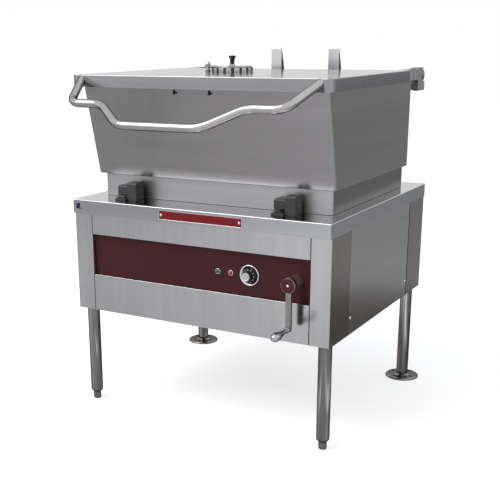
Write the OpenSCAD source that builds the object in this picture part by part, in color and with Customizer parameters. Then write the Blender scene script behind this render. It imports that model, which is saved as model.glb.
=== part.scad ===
// Tilting bratt pan: a covered pan that tips forward on two front pivots,
// on an open-legged cabinet that holds the controls and the hand-cranked tilt gear.
// Millimetres. The floor is z = 0, the front faces -Y, the origin is under the middle.

/* [Cabinet] */
// Width of the deck that covers the cabinet
deck_w = 914.4; // [900:0.1:960]
// Depth of the deck from front apron to rear apron
deck_d = 843.2; // [836:0.1:880]
// Height of the deck above the floor
deck_top = 711.2; // [700:0.1:750]
// Height of the turned-down apron
apron_h = 45; // [38:0.5:50]
// Thickness of the cabinet sheet
sheet_t = 2; // [1.5:0.1:2.5]
// Overhang of the apron past the front panels
front_overhang = 10.3; // [8:0.1:14]
// Overhang of the apron past the back panel
rear_overhang = 9; // [6:0.1:14]
// Height of the cabinet bottom above the floor
cabinet_bottom = 339.4; // [325:0.1:350]
// Width of each front corner post as seen from the front
post_w = 65.2; // [56:0.1:72]
// Height of the recessed control panel
control_h = 136.2; // [126:0.1:142]
// Height from the upper edge of the control panel to the top of the deck
upper_strip_h = 113; // [108:0.1:120]
// Depth of the recess that holds the control panel
panel_recess = 15; // [12:0.5:16]
// Margin of the pressed field on each side panel
side_margin = 144; // [120:1:160]
// Depth of the pressed field on each side panel
side_press = 1; // [0.5:0.1:1.2]

/* [Legs and feet] */
// Outer diameter of the leg tube
leg_d = 41.3; // [38:0.1:44]
// Wall of the leg tube
leg_wall = 2; // [1.6:0.1:2.5]
// Distance of each leg axis from the side of the deck
leg_inset_x = 27.8; // [25:0.1:32]
// Distance of the front leg axis from the front apron
leg_inset_front = 49; // [44:0.1:56]
// Distance of the rear leg axis from the rear apron
leg_inset_rear = 60.6; // [50:0.1:70]
// Diameter of the bullet foot
foot_d = 26; // [24.5:0.1:30]
// Height of the straight part of the bullet foot
foot_h = 25; // [20:0.5:30]
// Height of the cone above the bullet foot
foot_cone_h = 9; // [6:0.5:14]
// Diameter of the rear flanged foot
flange_d = 118.7; // [112:0.1:124]
// Thickness of the flange
flange_t = 8; // [6:0.1:10]
// Pitch circle of the holes in the flange
flange_pcd = 80; // [76:0.5:98]
// Angle of the first hole in the flange
flange_hole_turn = 70; // [0:1:90]
// Diameter of the holes in the flange
flange_hole_d = 11; // [9:0.5:12]
// Diameter of the stem that slides in the leg
stem_d = 24; // [20:0.1:24]
// Length of the stem inside the leg
stem_l = 60; // [50:1:80]

/* [Pan] */
// Distance of the pan's side walls from the sides of the deck
pan_side_in = 31.2; // [28:0.1:37]
// Height of the pan bottom above the deck
pan_lift = 75.8; // [72:0.1:80]
// Height of the pan from its bottom to its rim
pan_h = 282.5; // [270:0.5:300]
// Distance from the pan front at the bottom to the front apron
pan_front_bottom = 107.6; // [104:0.1:110]
// Forward lean of the pan front from bottom to rim
pan_lean = 67; // [55:1:70]
// Depth of the pan at its bottom
pan_depth = 614; // [606:0.5:620]
// Thickness of the pan walls
pan_wall = 3; // [2:0.1:4]
// Thickness of the pan floor
pan_floor = 10; // [8:0.5:14]
// Radius of the lower side edges of the pan
pan_edge_r = 20; // [15:1:24]
// Width of the fixed strip that closes the rear of the rim
rear_strip_w = 61; // [56:0.5:64]
// Inset of the skirt sides from the pan sides
skirt_inset = 17; // [14:0.5:20]
// Inset of the skirt front from the pan front
skirt_front_inset = 14; // [12:0.5:15]
// Overhang of the skirt past the pan rear
skirt_rear_out = 11; // [8:0.5:14]
// Radius of the skirt corners
skirt_r = 10; // [6:1:14]

/* [Tilt pivots] */
// Distance of each pivot joint from the side of the deck
pivot_in = 174.7; // [171:0.1:187]
// Distance of the pivot axis in front of the skirt
pivot_out = 40; // [40:0.1:44]
// Height of the pivot axis above the deck
pivot_up = 28.8; // [27:0.1:30]
// Width of the fixed bearing block
block_w = 34; // [28:0.5:36]
// Depth of the fixed bearing block
block_d = 47; // [44:0.5:48]
// Height of the fixed bearing block
block_h = 57.8; // [54:0.1:59]
// Width of the pan lug
lug_w = 37; // [32:0.5:38]
// Radius of the lug round the pin
lug_r = 18; // [15:0.5:19]
// Diameter of the pivot pin
pin_d = 16; // [12:0.5:18]
// Diameter of the bolt heads at the bearing blocks
block_bolt_d = 13; // [10:0.5:14]

/* [Lid] */
// Overhang of the lid past the pan's side walls
lid_side_out = 21; // [16:0.5:26]
// Distance of the lid's rear edge from the pan rear
lid_rear_in = 62; // [61:0.5:66]
// Overhang of the lid in front of the pan rim
lid_front_out = 33; // [28:0.5:38]
// Height of the lid
lid_h = 37; // [32:0.5:42]
// Thickness of the lid sheet
lid_t = 2; // [1.5:0.1:2.5]
// Width of the inner flange at the lid's lower edge
lid_flange_w = 18; // [12:0.5:18]
// Radius of the lid corners
lid_r = 22; // [12:1:22]
// Diameter of the handle tube
handle_d = 25.4; // [22:0.1:28]
// Wall of the handle tube
handle_wall = 2; // [1.5:0.1:2.5]
// Distance of the handle ends from the sides of the lid
handle_end_in = 36; // [22:1:42]
// Distance of the outer bends from the handle ends
handle_outer_in = 52; // [41:1:71]
// Distance of the inner bends from the outer bends
handle_inner_in = 115; // [99:1:139]
// Distance of the grip ends from the inner bends
handle_grip_in = 106; // [84:1:134]
// Reach of the outer bends in front of the lid
handle_outer_out = 119; // [105:1:130]
// Drop of the outer bends below the lid top
handle_outer_drop = 77; // [65:1:85]
// Reach of the grip in front of the lid
handle_grip_out = 192; // [170:1:200]
// Drop of the grip below the lid top
handle_grip_drop = 129; // [115:1:135]
// Height of the handle ends below the lid top
handle_end_drop = 14; // [13.5:0.1:18]

/* [Lid hinge] */
// Distance of the hinge axis behind the pan rear
hinge_out = 130; // [120:0.5:136]
// Height of the hinge axis above the pan rim
hinge_up = 13.5; // [12:0.1:15]
// Inset of the hinge arm's outer face from the pan's side wall
hinge_inset = 2; // [0:0.5:6]
// Width of the hinge arms
hinge_w = 30; // [24:0.5:34]
// Diameter of the hinge shaft
hinge_shaft_d = 20; // [16:0.5:22]
// Radius of the hinge knuckle
knuckle_r = 19; // [17:0.1:19]
// Distance of each upright from the middle
upright_x = 113; // [90:1:140]
// Width of each upright
upright_w = 40; // [32:0.5:48]
// Height of the uprights above the pan rim
upright_up = 104.5; // [80:0.5:120]

/* [Lid vent] */
// Place of the vent to the left of the middle
vent_x = 78; // [60:1:100]
// Distance of the vent behind the lid front
vent_y = 388; // [360:1:400]
// Outer diameter of the vent ring
vent_d = 137; // [120:0.5:145]
// Opening of the vent
vent_bore_d = 100; // [84:0.5:104]
// Height of the vent ring
vent_h = 14; // [10:0.5:18]
// Distance between the vent and the post of its cover
vent_post_gap = 93; // [88:0.5:98]
// Diameter of the vent knob
vent_knob_d = 24; // [20:0.5:28]
// Height of the vent knob
vent_knob_h = 27; // [22:0.5:32]

/* [Controls] */
// Height of the controls above the lower edge of the control panel
control_z = 63.5; // [56:0.5:68]
// Place of the green lamp to the right of the middle
lamp_green_x = 76; // [60:1:85]
// Place of the red lamp to the right of the middle
lamp_red_x = 121; // [110:1:130]
// Diameter of the lamp bezels
lamp_d = 18; // [14:0.5:22]
// Place of the thermostat to the right of the middle
thermostat_x = 186; // [175:1:200]
// Diameter of the thermostat dial plate
dial_d = 67; // [60:0.5:72]
// Diameter of the thermostat knob skirt
knob_d = 45; // [38:0.5:50]
// Distance of the crank shaft from the right side of the deck
crank_in = 112.7; // [111.7:0.1:115.7]
// Height of the crank shaft above the lower edge of the control panel
crank_z = 65.5; // [64:0.5:67]
// Length of the crank bearing in front of the control panel
crank_bearing_l = 45.5; // [41:0.5:52]
// Radius of the crank from its shaft to its grip
crank_r = 134; // [114:1:138]
// Width of the crank arm
crank_arm_w = 20; // [18:0.5:24]
// Length of the crank grip
grip_l = 98; // [86:0.5:106]
// Diameter of the crank grip at its bulb
grip_d = 27; // [26:0.5:34]

/* [Tilt gear] */
// Module of the sector and pinion teeth
sector_module = 3; // [2.95:0.01:3]
// Teeth of the pinion
pinion_teeth = 22;
// Teeth that the sector would have as a full gear
sector_full_teeth = 88;
// Teeth of the worm wheel
wheel_teeth = 30;
// Pitch radius of the worm wheel
wheel_r = 75; // [74:0.1:75.5]
// Width of the worm wheel
wheel_w = 12; // [9:0.5:12.5]
// Width of the sector gear
sector_w = 14; // [10:0.5:16]
// Distance of the sector's middle plane from the crank shaft
sector_offset = 30; // [28:0.5:31]
// Diameter of the crank shaft and of the cross shaft
shaft_d = 18; // [15:0.5:18]

/* [Nameplate] */
// Width of the nameplate
nameplate_w = 294; // [250:1:310]
// Height of the nameplate
nameplate_h = 30; // [24:0.5:34]
// Place of the nameplate's middle to the right of the middle
nameplate_x = 26; // [0:1:30]
// Width of the small plate at the deck corner
tag_w = 21; // [16:0.5:26]

/* [Hidden] */
$fn = 48;

// Clearances and overruns
cut = 1;
seat_gap = 0.3;
run_gap = 0.05;
side_gap = 0.5;
face_gap = 1;
gear_side_gap = 14;

// Colours
steel = [0.74, 0.75, 0.76];
bright = [0.85, 0.86, 0.88];
dark_cast = [0.24, 0.235, 0.235];
burgundy = [0.27, 0.13, 0.15];
black = [0.05, 0.05, 0.055];
bronze = [0.55, 0.42, 0.22];
grey_cast = [0.45, 0.45, 0.45];

// Cabinet planes
half_w = deck_w / 2;
half_d = deck_d / 2;
crank_x = half_w - crank_in;
front_y = -half_d + front_overhang;
back_y = half_d - rear_overhang;
deck_under = deck_top - sheet_t;
apron_bottom = deck_top - apron_h;
panel_y = front_y + panel_recess;
control_top = deck_top - upper_strip_h;
control_bottom = control_top - control_h;
post_in = half_w - post_w;
panel_lap = 8;
inner_x = half_w - sheet_t;
floor_top = cabinet_bottom + sheet_t;
corner_angle = 30;
corner_t = 3;

// Legs and feet
leg_x = half_w - leg_inset_x;
leg_front_y = -half_d + leg_inset_front;
leg_rear_y = half_d - leg_inset_rear;
leg_r = leg_d / 2;
leg_bore_r = leg_r - leg_wall;
stem_r = stem_d / 2;
insert_h = 30;
foot_r = foot_d / 2;
foot_round_r = 4;
foot_round_h = 6;
foot_flat_r = foot_r - foot_round_r;
hub_h = 5;
hub_base_r = 30;
flange_edge = 3;
flange_holes = 4;
front_leg_z = foot_h + foot_cone_h + seat_gap;
rear_leg_z = flange_t + hub_h + seat_gap;
socket_plate = 44;
socket_t = 5;
socket_l = 40;

// Pan planes
pan_half_w = half_w - pan_side_in;
pan_bottom = deck_top + pan_lift;
pan_rim = pan_bottom + pan_h;
pan_front_y = -half_d + pan_front_bottom;
pan_rim_front_y = pan_front_y - pan_lean;
pan_rear_y = pan_front_y + pan_depth;
strip_t = 3;
skirt_x = pan_half_w - skirt_inset;
skirt_front_y = pan_front_y + skirt_front_inset;
skirt_rear_y = pan_rear_y + skirt_rear_out;
skirt_bottom = deck_top + seat_gap;
skirt_t = 2;

// Pivot
pivot_x = half_w - pivot_in;
pivot_y = skirt_front_y - pivot_out;
pivot_z = deck_top + pivot_up;
pin_r = pin_d / 2;
pivot_gap = 2;
block_front = 22;
block_chamfer = 5;
flange_h = 6.5;
flange_front = 36;
block_bolt_h = 5;
block_bolt_out = 28;

// Heaters under the pan, to the left of the sector's pad
heater_count = 3;
heater_gap = 15;
heater_h = 18;
heater_side = 24;
heater_pad_gap = 42;
heater_front = 60;
heater_rear = 81;
heater_tube_r = 4;
cover_lift = 11;
cover_t = 2;
cover_gap = 3;

// Lid planes
lid_half_w = pan_half_w + lid_side_out;
lid_bottom = pan_rim + side_gap;
lid_top = lid_bottom + lid_h;
lid_front_y = pan_rim_front_y - lid_front_out;
lid_rear_y = pan_rear_y - lid_rear_in;
handle_r = handle_d / 2;
handle_end_x = lid_half_w - handle_end_in;
handle_outer_x = handle_end_x - handle_outer_in;
handle_inner_x = handle_outer_x - handle_inner_in;
handle_grip_x = handle_inner_x - handle_grip_in;

// Lid hinge
hinge_y = pan_rear_y + hinge_out;
hinge_z = pan_rim + hinge_up;
hinge_half_w = pan_half_w - hinge_inset;
hinge_in = hinge_half_w - hinge_w;
hinge_shaft_r = hinge_shaft_d / 2;
ear_w = 12;
ear_r = 17;
bar_down = 15.5;
bar_top = pan_rim - bar_down;
bar_h = 14;
block_low_h = 31;
cheek_w = 16;
block_low_front = 48;
block_low_rear = 23;
arm_up = 27;
arm_down = 16;
arm_top = hinge_z + arm_up;
arm_bottom = hinge_z - arm_down;
arm_slot_w = 4;
arm_slot_h = 32;
arm_slot_out = 29;
arm_slot_y = pan_rear_y + arm_slot_out;
shaft_cap_r = 13;
shaft_cap_t = 2;
rail_w = 30;
upright_t = 4;
upright_flange = 22;
upright_fore = 57;
upright_y = hinge_y - upright_fore;

// Pan hooks
hook_x = [-83, 40];
hook_w = 12;
hook_h = 13;
hook_d = 6;
hook_down = 4;

// Vent
vent_cx = -vent_x;
vent_cy = lid_front_y + vent_y;
post_cx = vent_cx - vent_post_gap;
vent_cover_t = 3;
vent_cover_in = 4;
vent_cover_r = vent_d / 2 - vent_cover_in;
vent_arm_w = 20;
vent_collar_r = 9;
vent_collar_h = 7;
post_r = 6;
post_base_r = 10;
acorn_r = 9;
acorn_h = 9;
vent_top = lid_top + vent_h;

// Controls
control_axis_z = control_bottom + control_z;
lamp_r = lamp_d / 2;
lamp_hole_r = 5;
lamp_lens_r = 6.5;
lamp_bezel_h = 3;
lamp_body_r = 9;
lamp_body_l = 28;
dial_t = 1.5;
knob_skirt_h = 5;
knob_h = 17;
knob_body_r = 17;
cap_r = 14.5;
cap_h = 4;
knob_stem_r = 3;
knob_stem_l = 16;
stem_hole_gap = 0.5;
thermostat_size = [56, 44, 62];

// Crank
crank_axis_z = control_bottom + crank_z;
shaft_r = shaft_d / 2;
bearing_r = 21;
bearing_spigot_r = 15;
bearing_spigot_l = 14;
crank_hub_r = 22;
crank_hub_l = 6;
crank_arm_t = 8;
crank_disc_r = 23;
crank_disc_t = 6;
crank_screw_r = 5;
crank_screw_h = 3;
bearing_front = panel_y - crank_bearing_l;
hub_back = bearing_front - seat_gap;
arm_back = hub_back - crank_hub_l;
arm_front = arm_back - crank_arm_t;
stud_r = 5;
grip_end_t = 4;
stud_l = grip_l - grip_end_t;
grip_z = crank_axis_z - crank_r;
grip_back = arm_front - face_gap / 2;
grip_collar_r = 8.5;

// Tilt gear train
mesh_angle = -45;
tilt_travel = 70;
sector_r = sector_module * sector_full_teeth / 2;
pinion_r = sector_module * pinion_teeth / 2;
gear_y = pivot_y + (sector_r + pinion_r) * cos(mesh_angle);
gear_z = pivot_z + (sector_r + pinion_r) * sin(mesh_angle);
wheel_module = 2 * wheel_r / wheel_teeth;
worm_r = gear_z - wheel_r - crank_axis_z;
worm_pitch = PI * wheel_module;
worm_turns = 4;
worm_l = worm_turns * worm_pitch;
worm_side_gap = 3;
tooth_backlash = 0.35;
wheel_backlash = 1.4;
pressure = 20;
addendum_share = 1;
dedendum_share = 1.25;
worm_tip_r = worm_r + wheel_module * addendum_share;
sector_rim = 34;
sector_in_r = sector_r - sector_rim;
sector_margin_angle = 3.5;
sector_x = crank_x - sector_offset;
pinion_side = 2;
pinion_w = sector_w + 2 * pinion_side;
frame_t = 6;
frame_fore = 60;
frame_aft = 18;
frame_below = 28;
frame_left = sector_x - pinion_w / 2 - gear_side_gap;
frame_right = crank_x + worm_tip_r + worm_side_gap;
frame_front = gear_y - frame_fore;
frame_rear = gear_y + wheel_r + frame_aft;
frame_bottom = crank_axis_z - frame_below;
frame_flange = 20;
frame_flange_t = 4;
frame_bridge_h = 56;
shaft_collar_r = 13;
slot_gap = 3;
web_gap = 3;
web_front = pivot_out + skirt_t + web_gap;
web_rear = 110;
pad_t = 6;
pad_w = 50;
worm_steps = 24;
worm_slices = 10;

// Heater sizes, from the space between the skirt and the sector's pad
heater_left = -skirt_x + heater_side;
heater_span = sector_x - pad_w / 2 - heater_pad_gap - heater_left;
heater_w = (heater_span - (heater_count - 1) * heater_gap) / heater_count;
heater_d = skirt_rear_y - skirt_front_y - heater_front - heater_rear;

// Electrical pieces on the back panel
terminal_size = [110, 30, 36];
terminal_side = 217.2;
terminal_up = 160.6;
terminal_count = 4;
contactor_size = [70, 60, 80];
contactor_side = 337.2;
contactor_up = 130.6;
gland_r = 16;
gland_nut_r = 20;
gland_bore_r = 10;
gland_side = 127.2;
gland_up = 80.6;
gland_x = -half_w + gland_side;
gland_z = cabinet_bottom + gland_up;
gland_out = 22;

// Nameplate and screws
nameplate_t = 2;
nameplate_down = 23;
nameplate_z = deck_top - nameplate_down;
tag_h = 23;
tag_t = 1;
tag_side = 20.7;
tag_down = 21.5;
tag_x = -half_w + tag_side;
tag_z = deck_top - tag_down;
screw_r = 4.5;
screw_h = 2.5;
side_screw_up = 52;
side_screw_z = cabinet_bottom + side_screw_up;
side_screw_in = 160;

// The origin lies under the middle of the whole object, from handle to hinge
front_most = lid_front_y - handle_grip_out - handle_r;
rear_most = hinge_y + block_low_rear;
frame_y = -(front_most + rear_most) / 2;

// Colours a sub-part and puts it in the shared frame
module sub_part(c) {
    color(c) translate([0, frame_y, 0]) children();
}

// A block between two corners
module block(x0, x1, y0, y1, z0, z1) {
    translate([x0, y0, z0]) cube([x1 - x0, y1 - y0, z1 - z0]);
}

// Round bars along each axis, by centre, radius and ends
module bar_x(y, z, r, x0, x1) {
    translate([x0, y, z]) rotate([0, 90, 0]) cylinder(r = r, h = x1 - x0);
}

module bar_y(x, z, r, y0, y1) {
    translate([x, y1, z]) rotate([90, 0, 0]) cylinder(r = r, h = y1 - y0);
}

module bar_z(x, y, r, z0, z1) {
    translate([x, y, z0]) cylinder(r = r, h = z1 - z0);
}

// A bar between any two points
module rod(p, q, r) {
    d = q - p;
    turn = atan2(d[1], d[0]);
    lean = acos(d[2] / norm(d));
    translate(p) rotate([0, lean, turn]) cylinder(r = r, h = norm(d));
}

// An outline in Y and Z, drawn out along X
module along_x(x0, x1) {
    translate([x0, 0, 0]) rotate([90, 0, 90]) linear_extrude(x1 - x0) children();
}

// An outline in X and Z, drawn out along Y
module along_y(y0, y1) {
    translate([0, y1, 0]) rotate([90, 0, 0]) linear_extrude(y1 - y0) children();
}

// A rectangle with round corners
module rounded(x0, x1, y0, y1, r) {
    translate([x0 + r, y0]) square([x1 - x0 - 2 * r, y1 - y0]);
    translate([x0, y0 + r]) square([x1 - x0, y1 - y0 - 2 * r]);
    for (x = [x0 + r, x1 - r], y = [y0 + r, y1 - r]) {
        translate([x, y]) circle(r);
    }
}

// Both sides of the middle plane
module both_sides() {
    children();
    mirror([1, 0, 0]) children();
}

// Cabinet

module deck() {
    sub_part(steel) difference() {
        block(-half_w, half_w, -half_d, half_d, apron_bottom, deck_top);
        block(-inner_x, inner_x, -half_d + sheet_t, half_d - sheet_t, apron_bottom - cut, deck_under);
        block(sector_x - sector_w / 2 - slot_gap, sector_x + sector_w / 2 + slot_gap,
            skirt_front_y + slot_gap, pivot_y + sector_r + 2 * slot_gap, deck_under - cut, deck_top + cut);
    }
}

module corner_posts() {
    z0 = floor_top;
    sub_part(steel) both_sides() {
        for (y = [front_y + sheet_t, back_y - sheet_t - corner_t]) {
            block(inner_x - corner_angle, inner_x, y, y + corner_t, z0, deck_under);
        }
        block(inner_x - corner_t, inner_x, front_y + sheet_t, front_y + sheet_t + corner_angle,
            z0, deck_under);
        block(inner_x - corner_t, inner_x, back_y - sheet_t - corner_angle, back_y - sheet_t,
            z0, deck_under);
    }
}

module side_panel() {
    difference() {
        block(inner_x, half_w, front_y, back_y, cabinet_bottom, apron_bottom);
        block(half_w - side_press, half_w + cut, front_y + side_margin, back_y - side_margin,
            cabinet_bottom + sheet_t, apron_bottom - sheet_t);
    }
}

module side_panel_right() {
    sub_part(steel) side_panel();
}

module side_panel_left() {
    sub_part(steel) mirror([1, 0, 0]) side_panel();
}

module screw_head() {
    cylinder(r = screw_r, h = screw_h);
}

module panel_screws() {
    sub_part(bright) {
        both_sides() for (y = [front_y + side_screw_in, back_y - side_screw_in]) {
            translate([half_w - side_press, y, side_screw_z]) rotate([0, 90, 0]) screw_head();
        }
        for (side = [-1, 1]) {
            translate([nameplate_x + side * (nameplate_w / 2 - 2 * screw_r), -half_d - nameplate_t, nameplate_z])
                rotate([90, 0, 0]) screw_head();
        }
    }
}

module front_posts() {
    sub_part(steel) both_sides() {
        block(post_in, inner_x, front_y, front_y + sheet_t, cabinet_bottom, deck_under);
        block(post_in, post_in + sheet_t, front_y + sheet_t, panel_y, control_bottom, control_top);
    }
}

module upper_strip() {
    x = post_in - side_gap;
    sub_part(steel) {
        block(-x, x, front_y, front_y + sheet_t, control_top, deck_under);
        block(-x, x, front_y + sheet_t, panel_y, control_top, control_top + sheet_t);
    }
}

module control_panel() {
    x = post_in - side_gap;
    sub_part(burgundy) difference() {
        block(-x, x, panel_y, panel_y + sheet_t, control_bottom - panel_lap, control_top + panel_lap);
        for (lamp_x = [lamp_green_x, lamp_red_x]) {
            bar_y(lamp_x, control_axis_z, lamp_hole_r, panel_y - cut, panel_y + sheet_t + cut);
        }
        bar_y(thermostat_x, control_axis_z, knob_stem_r + stem_hole_gap, panel_y - cut, panel_y + sheet_t + cut);
        bar_y(crank_x, crank_axis_z, bearing_spigot_r + run_gap, panel_y - cut, panel_y + sheet_t + cut);
    }
}

module lower_front_panel() {
    x = post_in - side_gap;
    sub_part(steel) {
        block(-x, x, front_y, front_y + sheet_t, cabinet_bottom, control_bottom);
        block(-x, x, front_y + sheet_t, panel_y, control_bottom - sheet_t, control_bottom);
    }
}

module back_panel() {
    sub_part(steel) difference() {
        block(-inner_x, inner_x, back_y - sheet_t, back_y, cabinet_bottom, deck_under);
        bar_y(gland_x, gland_z, gland_r, back_y - sheet_t - cut, back_y + cut);
    }
}

module bottom_panel() {
    sub_part(steel) difference() {
        block(-inner_x, inner_x, front_y + sheet_t, back_y - sheet_t, cabinet_bottom, floor_top);
        for (x = [-leg_x, leg_x], y = [leg_front_y, leg_rear_y]) {
            bar_z(x, y, leg_bore_r, cabinet_bottom - cut, floor_top + cut);
        }
    }
}

// Legs and feet

module leg_sockets() {
    sub_part(grey_cast) for (x = [-leg_x, leg_x], y = [leg_front_y, leg_rear_y]) {
        block(x - socket_plate / 2, x + socket_plate / 2, y - socket_plate / 2, y + socket_plate / 2,
            floor_top, floor_top + socket_t);
        bar_z(x, y, leg_bore_r - run_gap, cabinet_bottom - socket_l, floor_top);
    }
}

module leg(x, y, z0) {
    difference() {
        bar_z(x, y, leg_r, z0, cabinet_bottom);
        bar_z(x, y, leg_bore_r, z0 + insert_h, cabinet_bottom + cut);
        bar_z(x, y, stem_r + run_gap, z0 - cut, z0 + insert_h + cut);
    }
}

module legs() {
    sub_part(steel) for (x = [-leg_x, leg_x]) {
        leg(x, leg_front_y, front_leg_z);
        leg(x, leg_rear_y, rear_leg_z);
    }
}

module bullet_foot(x) {
    shoulder = foot_h + foot_cone_h;
    sub_part(steel) translate([x, leg_front_y, 0]) rotate_extrude() polygon([
        [0, 0], [foot_flat_r, 0],
        [foot_flat_r + foot_round_r * sin(45), foot_round_h * (1 - cos(45))],
        [foot_r, foot_round_h], [foot_r, foot_h], [leg_r, shoulder], [stem_r, shoulder],
        [stem_r, shoulder + stem_l], [0, shoulder + stem_l]
    ]);
}

module flanged_foot(x) {
    shoulder = flange_t + hub_h;
    r = flange_d / 2;
    sub_part(steel) translate([x, leg_rear_y, 0]) difference() {
        rotate_extrude() polygon([
            [0, 0], [r, 0], [r, flange_edge], [r - flange_edge, flange_t], [hub_base_r, flange_t],
            [leg_r + run_gap, shoulder], [stem_r, shoulder], [stem_r, shoulder + stem_l],
            [0, shoulder + stem_l]
        ]);
        for (i = [0 : flange_holes - 1]) {
            rotate(flange_hole_turn + i * 360 / flange_holes) translate([flange_pcd / 2, 0, -cut])
                cylinder(d = flange_hole_d, h = flange_t + 2 * cut);
        }
    }
}

module foot_front_left() {
    bullet_foot(-leg_x);
}

module foot_front_right() {
    bullet_foot(leg_x);
}

module foot_rear_left() {
    flanged_foot(-leg_x);
}

module foot_rear_right() {
    flanged_foot(leg_x);
}

// Tilt pivots: the fixed block stands to the right of the pan lug at both pivots

module pivot_blocks() {
    y0 = pivot_y - block_front;
    y1 = y0 + block_d;
    z1 = deck_top + block_h;
    sub_part(dark_cast) for (side = [-1, 1]) {
        x0 = side * pivot_x + pivot_gap / 2;
        difference() {
            along_x(x0, x0 + block_w) polygon([
                [y0, deck_top], [y1, deck_top], [y1, z1 - block_chamfer], [y1 - block_chamfer, z1],
                [y0 + block_chamfer, z1], [y0, z1 - block_chamfer]
            ]);
            bar_x(pivot_y, pivot_z, pin_r + run_gap, x0 - cut, x0 + block_w + cut);
        }
        block(x0 - lug_w - pivot_gap, x0, pivot_y - flange_front, y1 - block_chamfer,
            deck_top, deck_top + flange_h);
    }
}

module pivot_block_bolts() {
    z0 = deck_top + flange_h;
    sub_part(bright) for (side = [-1, 1], share = [1 / 4, 3 / 4]) {
        x = side * pivot_x - lug_w * share;
        bar_z(x, pivot_y - block_bolt_out, block_bolt_d / 2, z0, z0 + block_bolt_h);
    }
}

// Nameplate and small plate, both bare

module nameplate() {
    x0 = nameplate_x - nameplate_w / 2;
    sub_part(bright) block(x0, x0 + nameplate_w, -half_d - nameplate_t, -half_d,
        nameplate_z - nameplate_h / 2, nameplate_z + nameplate_h / 2);
}

module corner_tag() {
    sub_part([0.1, 0.15, 0.3]) block(tag_x - tag_w / 2, tag_x + tag_w / 2, -half_d - tag_t, -half_d,
        tag_z - tag_h / 2, tag_z + tag_h / 2);
}

// Controls

module lamp_bezels() {
    sub_part(bright) for (x = [lamp_green_x, lamp_red_x]) {
        difference() {
            bar_y(x, control_axis_z, lamp_r, panel_y - lamp_bezel_h, panel_y);
            bar_y(x, control_axis_z, lamp_lens_r, panel_y - lamp_bezel_h - cut, panel_y + cut);
        }
    }
}

module lamp(x) {
    intersection() {
        translate([x, panel_y - lamp_bezel_h, control_axis_z]) sphere(lamp_lens_r);
        bar_y(x, control_axis_z, lamp_lens_r, panel_y - 2 * lamp_lens_r, panel_y - lamp_bezel_h);
    }
    bar_y(x, control_axis_z, lamp_lens_r, panel_y - lamp_bezel_h, panel_y);
    bar_y(x, control_axis_z, lamp_hole_r, panel_y, panel_y + sheet_t);
    bar_y(x, control_axis_z, lamp_body_r, panel_y + sheet_t, panel_y + sheet_t + lamp_body_l);
}

module lamp_green() {
    sub_part([0.1, 0.5, 0.2]) lamp(lamp_green_x);
}

module lamp_red() {
    sub_part([0.7, 0.08, 0.06]) lamp(lamp_red_x);
}

module thermostat_body() {
    y0 = panel_y + sheet_t;
    w = thermostat_size[0];
    sub_part(grey_cast) difference() {
        block(thermostat_x - w / 2, thermostat_x + w / 2, y0, y0 + thermostat_size[1],
            control_axis_z - thermostat_size[2] / 2, control_axis_z + thermostat_size[2] / 2);
        bar_y(thermostat_x, control_axis_z, knob_stem_r + stem_hole_gap, y0 - cut, y0 + knob_stem_l + cut);
    }
}

module dial_plate() {
    sub_part(bright) difference() {
        bar_y(thermostat_x, control_axis_z, dial_d / 2, panel_y - dial_t, panel_y);
        bar_y(thermostat_x, control_axis_z, knob_stem_r + stem_hole_gap, panel_y - dial_t - cut, panel_y + cut);
    }
}

module thermostat_knob() {
    y0 = panel_y - dial_t - face_gap;
    sub_part(black) {
        bar_y(thermostat_x, control_axis_z, knob_d / 2, y0 - knob_skirt_h, y0);
        bar_y(thermostat_x, control_axis_z, knob_body_r, y0 - knob_skirt_h - knob_h, y0 - knob_skirt_h);
        bar_y(thermostat_x, control_axis_z, knob_stem_r, y0, panel_y + sheet_t + knob_stem_l);
    }
}

module thermostat_cap() {
    y1 = panel_y - dial_t - face_gap - knob_skirt_h - knob_h;
    sub_part(bright) bar_y(thermostat_x, control_axis_z, cap_r, y1 - cap_h, y1);
}

// Crank

module crank_bearing() {
    sub_part(grey_cast) difference() {
        union() {
            bar_y(crank_x, crank_axis_z, bearing_r, bearing_front, panel_y);
            bar_y(crank_x, crank_axis_z, bearing_spigot_r, panel_y, panel_y + bearing_spigot_l);
        }
        bar_y(crank_x, crank_axis_z, shaft_r + run_gap, bearing_front - cut, panel_y + bearing_spigot_l + cut);
    }
}

// Radius of the worm's cross section at a share of a turn from the thread's middle
function worm_radius(share) =
    let (off = abs(share) * worm_pitch)
    let (half = (worm_pitch / 2 - wheel_backlash) / 2)
    let (height = (half - off) / tan(pressure))
    worm_r + max(-wheel_module * dedendum_share, min(wheel_module * addendum_share, height));

module worm() {
    points = [for (i = [0 : worm_steps - 1]) let (a = i * 360 / worm_steps)
        worm_radius(i / worm_steps - (i > worm_steps / 2 ? 1 : 0)) * [cos(a), sin(a)]];
    translate([crank_x, gear_y - worm_l / 2, crank_axis_z]) rotate([-90, 0, 0])
        linear_extrude(worm_l, twist = -360 * worm_turns, slices = worm_slices * worm_turns)
            rotate(-90 - 180 * worm_turns) polygon(points);
}

module crank_shaft() {
    sub_part(steel) {
        bar_y(crank_x, crank_axis_z, shaft_r, arm_front, frame_rear + frame_t);
        worm();
    }
}

module crank_arm() {
    w = crank_arm_w;
    sub_part(grey_cast) difference() {
        union() {
            bar_y(crank_x, crank_axis_z, crank_hub_r, arm_back, hub_back);
            bar_y(crank_x, crank_axis_z, w / 2, arm_front, arm_back);
            block(crank_x - w / 2, crank_x + w / 2, arm_front, arm_back, grip_z, crank_axis_z);
            bar_y(crank_x, grip_z, w / 2, arm_front, arm_back);
            bar_y(crank_x, grip_z, stud_r, arm_front - stud_l, arm_front);
        }
        bar_y(crank_x, crank_axis_z, shaft_r, arm_front - cut, hub_back + cut);
    }
}

module crank_disc() {
    sub_part(burgundy) bar_y(crank_x, crank_axis_z, crank_disc_r, arm_front - crank_disc_t, arm_front);
}

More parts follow.
